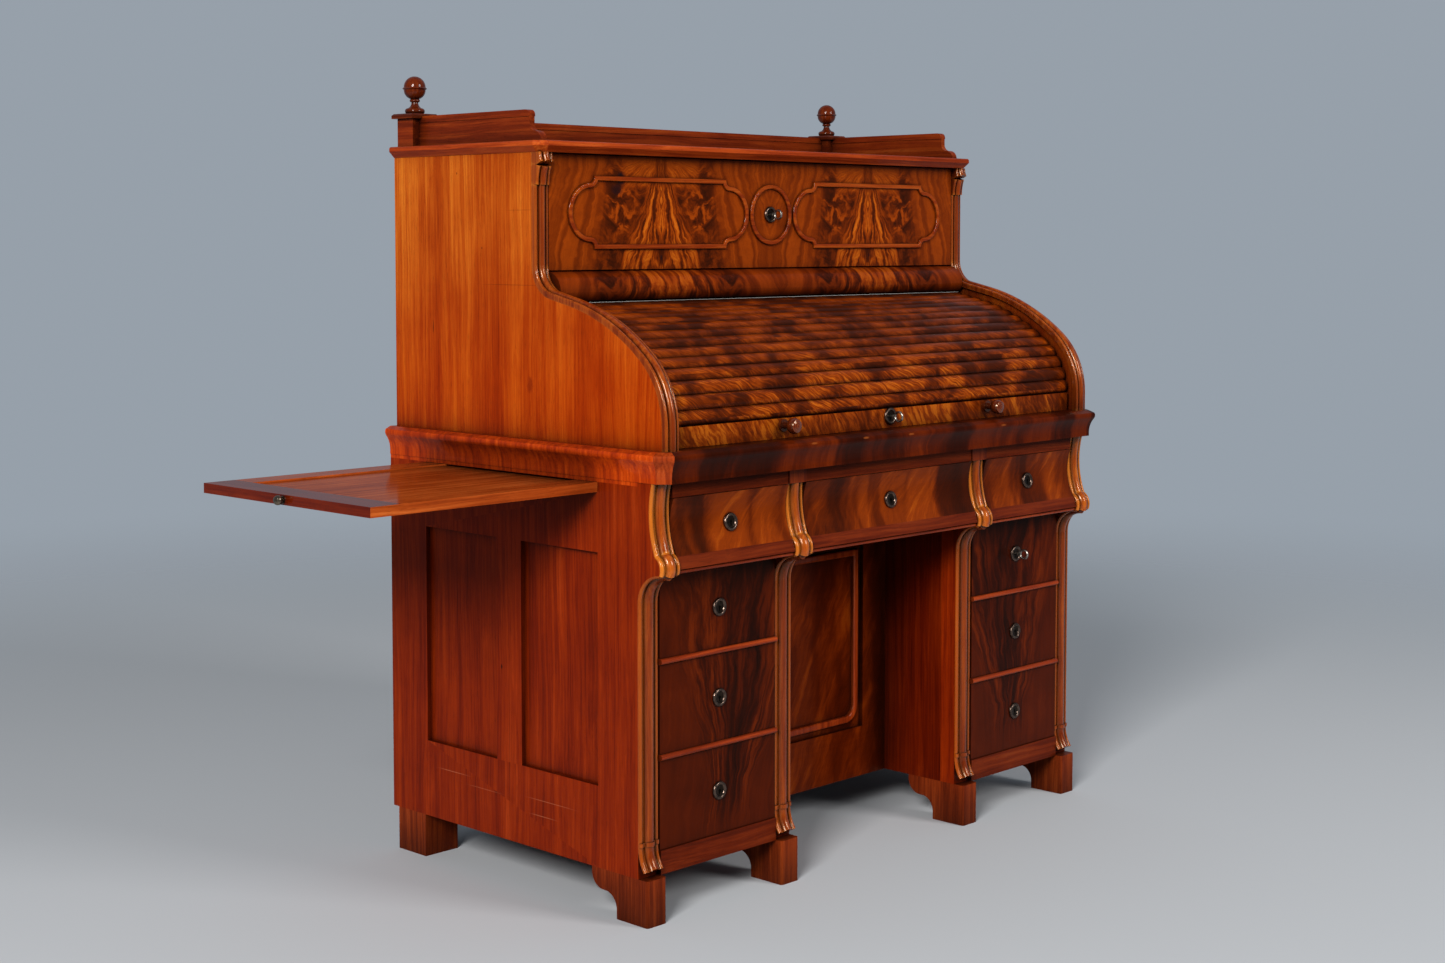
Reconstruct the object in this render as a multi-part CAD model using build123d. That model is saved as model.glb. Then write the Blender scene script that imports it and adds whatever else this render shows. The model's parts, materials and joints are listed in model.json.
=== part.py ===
from build123d import *
from collections import namedtuple
from math import asin, cos, radians, sin, sqrt
import os

# A mahogany roll top desk: two drawer pedestals, a frieze with three drawers, a slatted roll, an upper
# cabinet behind a fall flap, and a side slide at each end. Millimetres. Pieces are drawn with x = 0 at the
# middle of the desk, d as the distance in front of the back plane and z above the floor.

# A strip with a wide reed between two narrow ones. lip is the depth of the grooves above the strip's back,
# low and proud are the crests of the narrow reeds and of the wide one.
Reeds = namedtuple("Reeds", "narrow wide groove lip low proud")

# Lower case
carcass_width = 1240.0
carcass_depth = 674.0
pedestal_width = 378.0
board_thickness = 22.0
post_depth = 34.0
post_reed_narrow = 8.5
post_reed_wide = 21.0
post_reed_groove = 3.5
post_reed_lip = 1.5
post_reed_low = 4.5
post_reed_proud = 10.0

# Feet
foot_height = 80.0
foot_overhang = 23.0
foot_top_length = 138.0
foot_lip = 8.0
foot_scroll = 28.0
foot_step = 6.0
foot_edge_round = 5.0
back_foot_width = 76.0
back_foot_length = 81.0
back_foot_setback = 16.0

# Side frames and back
side_back_stile = 106.0
side_muntin_width = 69.0
side_front_stile = 98.0
side_bottom_rail = 142.0
side_top_rail = 103.0
panel_recess = 9.0
panel_thickness = 9.0
back_thickness = 20.0
back_rail = 90.0
back_stile = 80.0

# Post consoles: a bell above a plain block, with a collar over it
console_block = 12.0
bell_height = 42.0
bell_flare = 14.0
collar_height = 7.0
collar_grow = 2.5

# Frieze, in front of the posts, on a cove
frieze_height = 145.0
cove_radius = 52.0
knuckle_height = 30.0
knuckle_setback = 11.0
knuckle_bulge = 6.5
corbel_head_proud = 34.0
corbel_bow = 10.0
corbel_block_proud = 2.0
deck_drop = 8.0
deck_thickness = 14.0
bead_height = 8.0
bead_overhang = 12.0
frieze_rail_height = 20.0
frieze_foot_proud = 3.0
frieze_band_lean = 7.0
frieze_band_height = 21.0
frieze_head_proud = 5.0
frieze_face_bow = 12.0
frieze_front_thickness = 23.0

# Pedestal drawers
bottom_rail_height = 41.0
bottom_rail_proud = 3.0
drawer_opening = 154.0
drawer_rail_height = 10.0
drawer_rail_nose = 6.0
drawer_face_recess = 6.0
drawer_front_thickness = 20.0
drawer_wall = 10.0
drawer_floor = 7.0
drawer_floor_lift = 6.0
drawer_back_gap = 60.0
drawer_gap = 1.0
run_gap = 0.3
runner_height = 12.0
runner_lap = 12.0
guide_height = 25.0

# Kneehole back
kneehole_depth = 178.0
kneehole_back_thickness = 20.0
kneehole_stile = 70.0
kneehole_bottom_rail = 100.0
kneehole_top_rail = 40.0
kneehole_moulding_inset = 12.0
kneehole_moulding_width = 14.0
kneehole_moulding_height = 8.0
kneehole_moulding_corner = 36.0
kneehole_moulding_round = 4.0

# Waist and writing board
waist_bottom = 745.0
waist_height = 60.0
waist_lift = 7.0
waist_overhang = 63.5
waist_cant = 18.0
waist_projection = 12.5
waist_toe = 1.0
waist_plain = 8.0
waist_slope = 5.0
waist_nose = 11.0
waist_nose_bulge = 1.5
bearer_width = 45.0
front_bearer_width = 34.0
writing_board_drop = 6.0
writing_board_thickness = 22.0
batten_width = 50.0
batten_inset = 20.0

# Side slides
slide_thickness = 17.0
slide_length = 582.0
slide_out = 471.0
slide_rail = 55.0
slide_clamp = 60.0
slide_panel_drop = 3.0
slide_gap = 1.0
slide_bearer_width = 35.0

# Upper case: the side boards stand in from the lower sides and have an S-shaped front edge
upper_setback = 15.3
upper_height = 503.0
upper_foot_setback = 20.5
upper_front_head = 391.0
shoulder_radius = 147.0
shoulder_turn = 50.0
crown_radius = 410.0
crown_turn = 27.4
neck_radius = 60.0
edge_reed_narrow = 6.5
edge_reed_wide = 14.0
edge_reed_groove = 2.0
edge_reed_lip = 7.0
edge_reed_low = 11.0
edge_reed_proud = 15.0
capital_height = 57.0
capital_head_height = 21.0
capital_foot_proud = 4.0
capital_neck_proud = 10.0
capital_lip_proud = 17.0
capital_head_proud = 12.0

# Roll: slats behind a lock rail, on two end ribs that turn on pins in the top frame
lock_rail_height = 36.0
lock_rail_thickness = 18.0
roll_recess = 12.0
roll_seat_gap = 0.5
roll_tail = 82.0
slat_count = 14
slat_gap = 0.9
slat_thickness = 14.0
slat_crown = 5.5
rib_seat = 1.0
rib_thickness = 16.0
rib_hub_radius = 16.0
roll_end_gap = 1.0
pivot_forward = 66.0
pivot_rise = 27.0
pivot_radius = 7.0
pivot_clearance = 0.1
pivot_seat = 25.0

# Flap, cushion rail and upper cabinet
flap_height = 205.0
flap_top_gap = 2.0
flap_proud = 9.0
flap_thickness = 20.0
flap_end_gap = 1.5
flap_pin_radius = 3.0
flap_pin_inset = 4.0
flap_pin_seat = 6.0
flap_pin_engage = 9.0
cushion_top_gap = 2.5
cushion_height = 51.5
cushion_bulge = 32.0
cushion_round = 15.0
cushion_undercut = 6.0
cabinet_floor_lift = 6.0
cabinet_floor_thickness = 16.0
flap_stop_height = 18.0
flap_stop_depth = 22.0

# Cartouche mouldings on the flap
cartouche_middle = 296.0
cartouche_length = 464.0
cartouche_height = 132.0
cartouche_end_radius = 53.0
cartouche_shoulder = 62.0
cartouche_band = 9.0
oval_diameter = 118.0
cartouche_proud = 5.0
cartouche_round = 2.5
cartouche_ear = 10.0

# Cornice, gallery and finials
cornice_height = 20.0
cornice_projection = 12.0
cornice_cant = 20.0
cornice_nose = 4.5
cornice_slope = 11.0
gallery_height = 56.0
gallery_thickness = 12.0
gallery_band = 1.5
gallery_top_band = 12.0
gallery_base_band = 17.0
gallery_overhang = 10.0
gallery_toe = 18.0
gallery_hollow = 14.0
gallery_shoulder = 10.0
gallery_post = 46.0
gallery_post_height = 52.0
gallery_post_inset = 22.0
gallery_post_setback = 12.0
cap_plate = 62.0
cap_plate_height = 9.0
cap_plate_bevel = 3.0
finial_ring_radius = 18.5
finial_ring_height = 11.0
finial_neck_radius = 6.2
finial_neck_height = 11.0
finial_bead_radius = 9.6
finial_bead_height = 6.0
finial_bulb_foot = 7.6
finial_bulb_height = 17.0
finial_ball_radius = 20.3
finial_belt = 2.6
finial_belt_height = 5.0

# Pigeonholes
pigeonhole_height = 136.0
pigeonhole_forward = 13.0
pigeonhole_depth = 168.0
pigeonhole_board = 7.0
pigeonhole_count = 8
pigeonhole_end_gap = 8.0

# Knobs and keys
knob_ring_share = 0.8
knob_neck_share = 0.45
knob_ring_height_share = 0.12
knob_crown_angle = 36.0
knob_crown_share = 0.22
roll_knob_spacing = 592.0
roll_knob_height = 24.0
roll_knob_length = 38.0
roll_knob_radius = 14.0
slide_knob_length = 16.0
slide_knob_radius = 8.0
key_stem_radius = 2.6
key_hole_gap = 0.1
key_seat = 14.0
key_stem_length = 13.0
key_collar_radius = 4.0
key_collar_place = 9.0
key_bow_radius = 8.5
key_bow_wire = 2.2
roll_key_height = 22.0

# Values that follow from those above
post_reeds = Reeds(
    post_reed_narrow, post_reed_wide, post_reed_groove, post_reed_lip, post_reed_low, post_reed_proud
)
edge_reeds = Reeds(
    edge_reed_narrow, edge_reed_wide, edge_reed_groove, edge_reed_lip, edge_reed_low, edge_reed_proud
)
half_width = carcass_width / 2
side_inner = half_width - board_thickness
post_width = 2 * post_reeds.narrow + 2 * post_reeds.groove + post_reeds.wide
outer_post = half_width - post_width
pedestal_inner = half_width - pedestal_width
inner_post = pedestal_inner + post_width
wall_outer = pedestal_inner + board_thickness
post_back = carcass_depth - post_depth
side_front_stile_back = carcass_depth - side_front_stile
side_muntin_back = (side_back_stile + side_front_stile_back - side_muntin_width) / 2
cove_top = waist_bottom - frieze_height
cove_bottom = cove_top - cove_radius
deck_bottom = cove_top - deck_drop
bottom_rail_top = foot_height + bottom_rail_height
corbel_head_depth = carcass_depth + corbel_head_proud
frieze_foot = carcass_depth + cove_radius
frieze_face_foot = frieze_foot + frieze_foot_proud
frieze_band_top = frieze_face_foot - frieze_band_lean
frieze_face_head = corbel_head_depth + frieze_head_proud
frieze_back_face = frieze_face_head - frieze_front_thickness
knuckle_top = cove_top + knuckle_height
deck_top = deck_bottom + deck_thickness
frieze_drawer_top = waist_bottom - frieze_rail_height
waist_foot = waist_bottom + waist_lift
waist_top = waist_bottom + waist_height
waist_front = carcass_depth + waist_overhang
bearer_inner = half_width - bearer_width
upper_outer = half_width - upper_setback
upper_top = waist_top + upper_height
upper_front_foot = waist_front - upper_foot_setback
pivot_depth = upper_front_head + pivot_forward
pivot_height = waist_bottom + pivot_rise
upper_inner = upper_outer - board_thickness
edge_width = 2 * edge_reeds.narrow + 2 * edge_reeds.groove + edge_reeds.wide
edge_inner = upper_outer - edge_width
roll_half = edge_inner - roll_end_gap
slide_bottom = waist_bottom - run_gap - slide_thickness
bearer_top = slide_bottom - run_gap
writing_top = waist_top - writing_board_drop
flap_half = edge_inner - flap_end_gap
flap_face = upper_front_head + flap_proud
flap_back = flap_face - flap_thickness
flap_top = upper_top - flap_top_gap
flap_bottom = flap_top - flap_height
flap_pin_depth = flap_face - flap_pin_inset
flap_pin_height = flap_bottom + flap_pin_inset
cornice_top = upper_top + cornice_height
gallery_front = upper_front_head + gallery_overhang
pigeonhole_front = pivot_depth + pigeonhole_forward
pigeonhole_back = pigeonhole_front - pigeonhole_depth
drawer_face = carcass_depth + drawer_face_recess

# The drawn-out slide lengthens the object on the left, and the waist moulding is its front
left_end = half_width + slide_out + slide_knob_length
right_end = half_width + slide_knob_length
object_front = waist_front + waist_projection
frame_shift = Pos((left_end - right_end) / 2, object_front / 2, 0)

os.makedirs("parts", exist_ok=True)


def save(name, *pieces):
    """Write the pieces of one node, moved into the object's own frame."""
    solids = []
    for piece in pieces:
        solids.extend((frame_shift * piece).solids())
    export_step(solids[0] if len(solids) == 1 else Compound(solids), f"parts/{name}.step")


def board(x_low, x_high, d_low, d_high, z_low, z_high):
    """A straight plank between two corners."""
    middle = Pos((x_low + x_high) / 2, -(d_low + d_high) / 2, (z_low + z_high) / 2)
    return middle * Box(x_high - x_low, d_high - d_low, z_high - z_low)


def both(piece):
    """A piece at the right end and its mirror image at the left end."""
    return [piece, mirror(piece, about=Plane.YZ)]


def line(start, end):
    """A straight edge of a side outline, between points given as (d, z)."""
    return Line((-start[0], start[1]), (-end[0], end[1]))


def bow(start, middle, end):
    """A round edge of a side outline through three points given as (d, z)."""
    return ThreePointArc((-start[0], start[1]), (-middle[0], middle[1]), (-end[0], end[1]))


def chain(*points):
    """Straight edges from point to point of a side outline."""
    return [line(a, b) for a, b in zip(points, points[1:])]


def along_x(edges, x_low, x_high):
    """A closed side outline pushed along the desk."""
    face = Plane.YZ.offset(x_low) * make_face(edges)
    return extrude(face, x_high - x_low, dir=(1, 0, 0))


def reed_face(reeds, grow=0.0):
    """Section of a reeded strip, its back on the local x axis and its reeds towards -y."""
    groove_in = reeds.wide / 2
    groove_out = groove_in + reeds.groove
    end = groove_out + reeds.narrow
    side_crest = groove_out + reeds.narrow / 2
    lip = -reeds.lip - grow
    low = -reeds.low - grow
    proud = -reeds.proud - grow
    return make_face([
        Line((-end, 0), (-end, lip)),
        ThreePointArc((-end, lip), (-side_crest, low), (-groove_out, lip)),
        Line((-groove_out, lip), (-groove_in, lip)),
        ThreePointArc((-groove_in, lip), (0, proud), (groove_in, lip)),
        Line((groove_in, lip), (groove_out, lip)),
        ThreePointArc((groove_out, lip), (side_crest, low), (end, lip)),
        Line((end, lip), (end, 0)),
        Line((end, 0), (-end, 0)),
    ])


def reeded(x_middle, edges, reeds):
    """A reeded strip along a side outline that runs upwards."""
    path = Wire([Plane.YZ.offset(x_middle) * edge for edge in edges])
    start = Plane(origin=path @ 0, x_dir=(1, 0, 0), z_dir=path % 0)
    return sweep(start * reed_face(reeds), path=path)


def reed_collar(x_middle, depth, z_low, height, reeds, grow):
    """A short upright length of reeds that stands out further than its neighbours."""
    return extrude(Pos(x_middle, -depth, z_low) * reed_face(reeds, grow), height)


def flare(slim, wide):
    """The middle of an arc that leaves the slim end upright and reaches the wide end."""
    out = wide[0] - slim[0]
    rise = wide[1] - slim[1]
    radius = (out * out + rise * rise) / (2 * out)
    half_turn = asin(abs(rise) / radius) / 2
    lift = radius * sin(half_turn) * (1 if rise > 0 else -1)
    return slim[0] + radius * (1 - cos(half_turn)), slim[1] + lift


def turned(edges):
    """A turned piece from its half outline of (radius, length), standing on the xy plane."""
    return revolve(Plane.XZ * make_face(edges), axis=Axis.Z)


# Outline of the heads of the posts and of the front stiles: cove, knuckle and hollow corbel
cove_start = (carcass_depth, cove_bottom)
cove_end = (frieze_foot, cove_top)
cove_middle = (frieze_foot - cove_radius * cos(radians(45)), cove_bottom + cove_radius * sin(radians(45)))
corbel_foot = (frieze_foot - knuckle_setback, knuckle_top)
corbel_head = (corbel_head_depth, waist_foot)
knuckle_middle = (
    (cove_end[0] + corbel_foot[0]) / 2 + knuckle_bulge,
    (cove_end[1] + corbel_foot[1]) / 2,
)
corbel_middle = (
    (corbel_foot[0] + corbel_head[0]) / 2 - corbel_bow,
    (corbel_foot[1] + corbel_head[1]) / 2,
)
cove_arc = bow(cove_start, cove_middle, cove_end)
knuckle_arc = bow(cove_end, knuckle_middle, corbel_foot)
corbel_arc = bow(corbel_foot, corbel_middle, corbel_head)


def ear_outline():
    """Side outline of the head of a post, in front of its upright."""
    return [
        cove_arc,
        knuckle_arc,
        corbel_arc,
        *chain(corbel_head, (carcass_depth, waist_foot), cove_start),
    ]


# Feet: ogee brackets under the posts and plain blocks behind
foot_front = carcass_depth + foot_overhang
foot_back = foot_front - foot_top_length
lip_z = foot_height - foot_lip
step_z = lip_z - foot_scroll
hollow_start = foot_back + foot_scroll + foot_step
foot_heel = hollow_start + foot_scroll
slant = foot_scroll * sin(radians(45))
foot_edges = [
    *chain((foot_heel, 0), (foot_front, 0), (foot_front, foot_height), (foot_back, foot_height)),
    line((foot_back, foot_height), (foot_back, lip_z)),
    bow(
        (foot_back, lip_z),
        (foot_back + foot_scroll - slant, lip_z - slant),
        (foot_back + foot_scroll, step_z),
    ),
    line((foot_back + foot_scroll, step_z), (hollow_start, step_z)),
    bow(
        (hollow_start, step_z),
        (hollow_start + slant, step_z - foot_scroll + slant),
        (foot_heel, step_z - foot_scroll),
    ),
    line((foot_heel, step_z - foot_scroll), (foot_heel, 0)),
]
back_foot = board(
    half_width - back_foot_width,
    half_width,
    back_foot_setback,
    back_foot_setback + back_foot_length,
    0,
    foot_height,
)
front_feet = []
for x_low, x_high in ((outer_post, half_width), (pedestal_inner, inner_post)):
    foot = along_x(foot_edges, x_low, x_high)
    front_feet += both(fillet(foot.edges().filter_by(Axis.Z).sort_by(Axis.Y)[:2], foot_edge_round))
save("feet", *front_feet, *both(back_foot))

# Side frames: stiles, rails and a muntin, with the slot of the slide above the top rail. The head of each
# front stile is a block shaped to the cove and the corbel.
muntin_front = side_muntin_back + side_muntin_width
rail_top = foot_height + side_bottom_rail
top_rail_low = bearer_top - side_top_rail
side_frame = [
    board(side_inner, half_width, 0, side_back_stile, foot_height, waist_bottom),
    board(side_inner, half_width, side_front_stile_back, carcass_depth, foot_height, waist_bottom),
    along_x(ear_outline(), side_inner, half_width),
    board(side_inner, half_width, side_back_stile, side_front_stile_back, foot_height, rail_top),
    board(side_inner, half_width, side_back_stile, side_front_stile_back, top_rail_low, bearer_top),
    board(side_inner, half_width, side_muntin_back, muntin_front, rail_top, top_rail_low),
]
save("side_frames", *[half for member in side_frame for half in both(member)])

# Side panels: thin boards set back between the frame members
panel_outer = half_width - panel_recess
panel_inner = panel_outer - panel_thickness
side_panel_pair = [
    board(panel_inner, panel_outer, side_back_stile, side_muntin_back, rail_top, top_rail_low),
    board(panel_inner, panel_outer, muntin_front, side_front_stile_back, rail_top, top_rail_low),
]
save("side_panels", *[half for panel in side_panel_pair for half in both(panel)])

# Posts: the upright and the shaped head behind each reeded strip; the outer ones fill in behind the side
# frames
save(
    "posts",
    *both(board(outer_post, side_inner, post_back, carcass_depth, foot_height, waist_bottom)),
    *both(along_x(ear_outline(), outer_post, side_inner)),
    *both(board(pedestal_inner, inner_post, post_back, carcass_depth, foot_height, waist_bottom)),
    *both(along_x(ear_outline(), pedestal_inner, inner_post)),
)

# Reeded strips of the posts, with a collar and a bell console at the foot of each
bell_low = foot_height + console_block
bell_top = bell_low + bell_height
collar_top = bell_top + collar_height
bell_slim = (carcass_depth, bell_top)
bell_wide = (carcass_depth + bell_flare, bell_low)
bell_arc = bow(bell_wide, flare(bell_slim, bell_wide), bell_slim)
strip_edges = [line((carcass_depth, collar_top), cove_start), cove_arc]
outer_middle = half_width - post_width / 2
inner_middle = pedestal_inner + post_width / 2
strips = []
for middle in (outer_middle, inner_middle):
    strips += both(reeded(middle, strip_edges, post_reeds))
    strips += both(reed_collar(middle, carcass_depth, bell_top, collar_height, post_reeds, collar_grow))
    strips += both(reeded(middle, [bell_arc], post_reeds))
save("post_reeds", *strips)

# Corbels: hollow reeded strips on the frieze, each ending in a knuckle; the inner ones stop under a block
# that carries the frieze rail across the post
rail_front = frieze_face_head - drawer_gap
block_face = rail_front + corbel_block_proud
block = board(pedestal_inner, inner_post, carcass_depth, block_face, frieze_drawer_top, waist_foot)
under_block = board(pedestal_inner, inner_post, carcass_depth, waist_front, cove_top, frieze_drawer_top)
corbels = [
    *both(reeded(outer_middle, [corbel_arc], post_reeds)),
    *both(reeded(inner_middle, [corbel_arc], post_reeds) & under_block),
    *both(block - along_x(ear_outline(), pedestal_inner, inner_post)),
]
for middle in (outer_middle, inner_middle):
    corbels += both(reeded(middle, [knuckle_arc], post_reeds))
save("corbels", *corbels)

# Pedestal inner walls and floors
floor_high = foot_height + board_thickness
save(
    "pedestal_boards",
    *both(board(pedestal_inner, wall_outer, back_thickness, post_back, foot_height, deck_bottom)),
    *both(board(wall_outer, side_inner, back_thickness, post_back, foot_height, floor_high)),
)

# Kneehole back: framed panel between the pedestals, with a planted moulding round-cornered below
knee_front = carcass_depth - kneehole_depth
knee_back = knee_front - kneehole_back_thickness
knee_inner = pedestal_inner - kneehole_stile
knee_low = foot_height + kneehole_bottom_rail
knee_high = deck_bottom - kneehole_top_rail
knee_panel_front = knee_front - panel_recess
save(
    "kneehole_back",
    *both(board(knee_inner, pedestal_inner, knee_back, knee_front, foot_height, deck_bottom)),
    board(-knee_inner, knee_inner, knee_back, knee_front, foot_height, knee_low),
    board(-knee_inner, knee_inner, knee_back, knee_front, knee_high, deck_bottom),
    board(-knee_inner, knee_inner, knee_back, knee_panel_front, knee_low, knee_high),
)
moulding_half = knee_inner - kneehole_moulding_inset
moulding_low = knee_low + kneehole_moulding_inset
moulding_high = knee_high - kneehole_moulding_inset
moulding_area = Plane.XZ.offset(knee_panel_front) * Pos(0, (moulding_low + moulding_high) / 2) * Rectangle(
    2 * moulding_half, moulding_high - moulding_low
)
moulding_area = fillet(moulding_area.vertices().sort_by(Axis.Z)[:2], kneehole_moulding_corner)
moulding_ring = moulding_area - offset(moulding_area, -kneehole_moulding_width)
knee_moulding = extrude(moulding_ring, kneehole_moulding_height, dir=(0, -1, 0))
save("kneehole_moulding", fillet(knee_moulding.faces().sort_by(Axis.Y)[0].edges(), kneehole_moulding_round))

# Front rails of the pedestals: half-round bead rails between the drawers and a flat bottom rail
first_rail = bottom_rail_top + drawer_opening
opening_floors = [
    bottom_rail_top,
    first_rail + drawer_rail_height,
    first_rail + 2 * drawer_rail_height + drawer_opening,
]
opening_tops = [first_rail, opening_floors[1] + drawer_opening, deck_bottom]
rail_nose = drawer_face + drawer_rail_nose
bottom_rail_face = drawer_face + bottom_rail_proud
drawer_rails = both(
    board(inner_post, outer_post, post_back, bottom_rail_face, foot_height, bottom_rail_top)
)
for z_low in opening_tops[:2]:
    z_high = z_low + drawer_rail_height
    nose_edges = [
        *chain((drawer_face, z_high), (post_back, z_high), (post_back, z_low), (drawer_face, z_low)),
        bow((drawer_face, z_low), (rail_nose, (z_low + z_high) / 2), (drawer_face, z_high)),
    ]
    drawer_rails += both(along_x(nose_edges, inner_post, outer_post))
save("drawer_rails", *drawer_rails)

# Runners and guides that carry the pedestal drawers
runners = []
for floor in opening_floors:
    under = floor - runner_height
    above = floor + guide_height
    runners += both(board(outer_post - runner_lap, side_inner, back_thickness, post_back, under, floor))
    runners += both(board(wall_outer, inner_post + runner_lap, back_thickness, post_back, under, floor))
    runners += both(board(outer_post, side_inner, back_thickness, post_back, floor, above))
    runners += both(board(wall_outer, inner_post, back_thickness, post_back, floor, above))
save("drawer_runners", *runners)

# Frieze deck: the board over the pedestals, with bead rails in front between the posts
bead_face = frieze_face_foot - bead_overhang + bead_height / 2
bead_low = deck_top - bead_height
bead_nose = bead_face + bead_height / 2
deck_edges = [
    *chain((bead_face, deck_top), (post_back, deck_top), (post_back, deck_bottom)),
    *chain((post_back, deck_bottom), (frieze_foot - cove_radius, deck_bottom)),
    *chain((frieze_foot - cove_radius, deck_bottom), (bead_face, bead_low)),
    bow((bead_face, bead_low), (bead_nose, deck_top - bead_height / 2), (bead_face, deck_top)),
]
save(
    "frieze_deck",
    board(-side_inner, side_inner, back_thickness, post_back, deck_bottom, deck_top),
    *both(along_x(deck_edges, inner_post, outer_post)),
    along_x(deck_edges, -pedestal_inner, pedestal_inner),
)

# Frieze top rails, set in under the waist, between the posts
save(
    "frieze_rails",
    *both(board(inner_post, outer_post, post_back, rail_front, frieze_drawer_top, waist_foot)),
    board(-pedestal_inner, pedestal_inner, post_back, rail_front, frieze_drawer_top, waist_foot),
)

# Frieze partitions between the drawers, with guide strips on the deck
partition_low = pedestal_inner + (post_width - board_thickness) / 2
partition_high = partition_low + board_thickness
partition_top = bearer_top - board_thickness
guide_top = deck_top + guide_height
save(
    "frieze_partitions",
    *both(board(partition_low, partition_high, back_thickness, post_back, deck_top, partition_top)),
    *both(board(pedestal_inner, partition_low, back_thickness, post_back, deck_top, guide_top)),
    *both(board(partition_high, inner_post, back_thickness, post_back, deck_top, guide_top)),
    *both(board(outer_post, side_inner, back_thickness, post_back, deck_top, guide_top)),
)

# Bearers that the side slides run on, from the side frames over the partitions
slide_back = side_back_stile + slide_gap
slide_front = side_front_stile_back - slide_gap
slide_bearers = []
for bearer_back in (slide_back, slide_front - slide_bearer_width):
    bearer_front = bearer_back + slide_bearer_width
    slide_bearers.append(
        board(-side_inner, side_inner, bearer_back, bearer_front, partition_top, bearer_top)
    )
save("slide_bearers", *slide_bearers)

# Top frame: side bearers with canted front corners, front and back bearers and two battens. In front the
# frame stops at the foot of the waist moulding; at the sides a strip goes down to the lower case.
cant_start = waist_front - waist_cant
cant_end = half_width - waist_cant
bearer_plan = make_face(Polyline(
    (bearer_inner, 0),
    (half_width, 0),
    (half_width, -cant_start),
    (cant_end, -waist_front),
    (bearer_inner, -waist_front),
    close=True,
))
pin_hole = Pos(0, -pivot_depth, pivot_height) * Rot(0, 90, 0) * Cylinder(pivot_radius, 2 * half_width)
pin_reach = Pos(0, -pivot_depth, pivot_height) * Box(
    2 * (bearer_inner + pivot_seat), 4 * pivot_radius, 4 * pivot_radius
)
side_strip = board(bearer_inner, half_width, 0, carcass_depth, waist_bottom, waist_foot)
side_bearer = extrude(Pos(0, 0, waist_foot) * bearer_plan, waist_height - waist_lift) + side_strip
side_bearer -= pin_hole & pin_reach
front_bearer_back = waist_front - front_bearer_width
board_low = writing_top - writing_board_thickness
front_batten = front_bearer_back - batten_inset
back_batten = bearer_width + batten_inset
save(
    "top_frame",
    *both(side_bearer),
    board(-bearer_inner, bearer_inner, front_bearer_back, waist_front, waist_foot, waist_top),
    board(-bearer_inner, bearer_inner, 0, bearer_width, waist_bottom, waist_top),
    board(-bearer_inner, bearer_inner, front_batten - batten_width, front_batten, waist_foot, board_low),
    board(-bearer_inner, bearer_inner, back_batten, back_batten + batten_width, waist_foot, board_low),
)

# Waist moulding: a cove under a round nose and a slope, planted round the front and the sides of the top
# frame
waist_path = Polyline(
    (-half_width, 0),
    (-half_width, -cant_start),
    (-cant_end, -waist_front),
    (cant_end, -waist_front),
    (half_width, -cant_start),
    (half_width, 0),
)
moulding_height = waist_height - waist_lift
nose_high = moulding_height - waist_slope
nose_low = nose_high - waist_nose
nose_root = waist_projection - waist_nose_bulge
cove_slim = (waist_toe, waist_plain)
cove_wide = (nose_root, nose_low)
waist_profile = make_face([
    *chain((nose_root, nose_high), (0, moulding_height), (0, 0), (waist_toe, 0), cove_slim),
    bow(cove_slim, flare(cove_slim, cove_wide), cove_wide),
    bow(cove_wide, (waist_projection, nose_low + waist_nose / 2), (nose_root, nose_high)),
])
waist_start = Plane(origin=(-half_width, 0, 0), x_dir=(1, 0, 0), z_dir=(0, -1, 0))
waist_ring = sweep(waist_start * waist_profile, path=waist_path, transition=Transition.RIGHT)
save("waist_moulding", Pos(0, 0, waist_foot) * waist_ring)

# Writing board, narrow enough for the ribs of the roll to pass at both ends
rib_outer = roll_half - roll_end_gap
rib_inner = rib_outer - rib_thickness
board_half = rib_inner - roll_end_gap
save(
    "writing_board",
    board(-board_half, board_half, bearer_width, front_bearer_back, board_low, writing_top),
)

# Back: frames with thin panels, below between the side frames and above between the upper sides
mid_stile = pedestal_inner + back_stile / 2
back_low = foot_height + back_rail
back_high = waist_bottom - back_rail
upper_low = waist_top + back_rail
upper_high = upper_top - back_rail
back_frame = [
    board(-side_inner, side_inner, 0, back_thickness, foot_height, back_low),
    board(-side_inner, side_inner, 0, back_thickness, back_high, waist_bottom),
    *both(board(side_inner - back_stile, side_inner, 0, back_thickness, back_low, back_high)),
    *both(board(mid_stile - back_stile, mid_stile, 0, back_thickness, back_low, back_high)),
    board(-upper_inner, upper_inner, 0, back_thickness, waist_top, upper_low),
    board(-upper_inner, upper_inner, 0, back_thickness, upper_high, upper_top),
    *both(board(upper_inner - back_stile, upper_inner, 0, back_thickness, upper_low, upper_high)),
    board(-back_stile / 2, back_stile / 2, 0, back_thickness, upper_low, upper_high),
]
save("back_frame", *back_frame)
panel_back = back_thickness - panel_thickness
mid_inner = mid_stile - back_stile
save(
    "back_panels",
    *both(board(mid_stile, side_inner - back_stile, panel_back, back_thickness, back_low, back_high)),
    board(-mid_inner, mid_inner, panel_back, back_thickness, back_low, back_high),
    *both(board(back_stile / 2, upper_inner - back_stile, panel_back, back_thickness, upper_low, upper_high)),
)


def run_end(point, heading, size, turn, share=1.0):
    """Where a run of an outline ends: a straight length, or an arc given by its radius and turn."""
    if turn == 0:
        reach = share * size
        return (point[0] - reach * sin(heading), point[1] + reach * cos(heading)), heading
    after = heading + share * radians(turn)
    side = size if turn > 0 else -size
    depth = point[0] - side * (cos(heading) - cos(after))
    return (depth, point[1] + side * (sin(after) - sin(heading))), after


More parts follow.
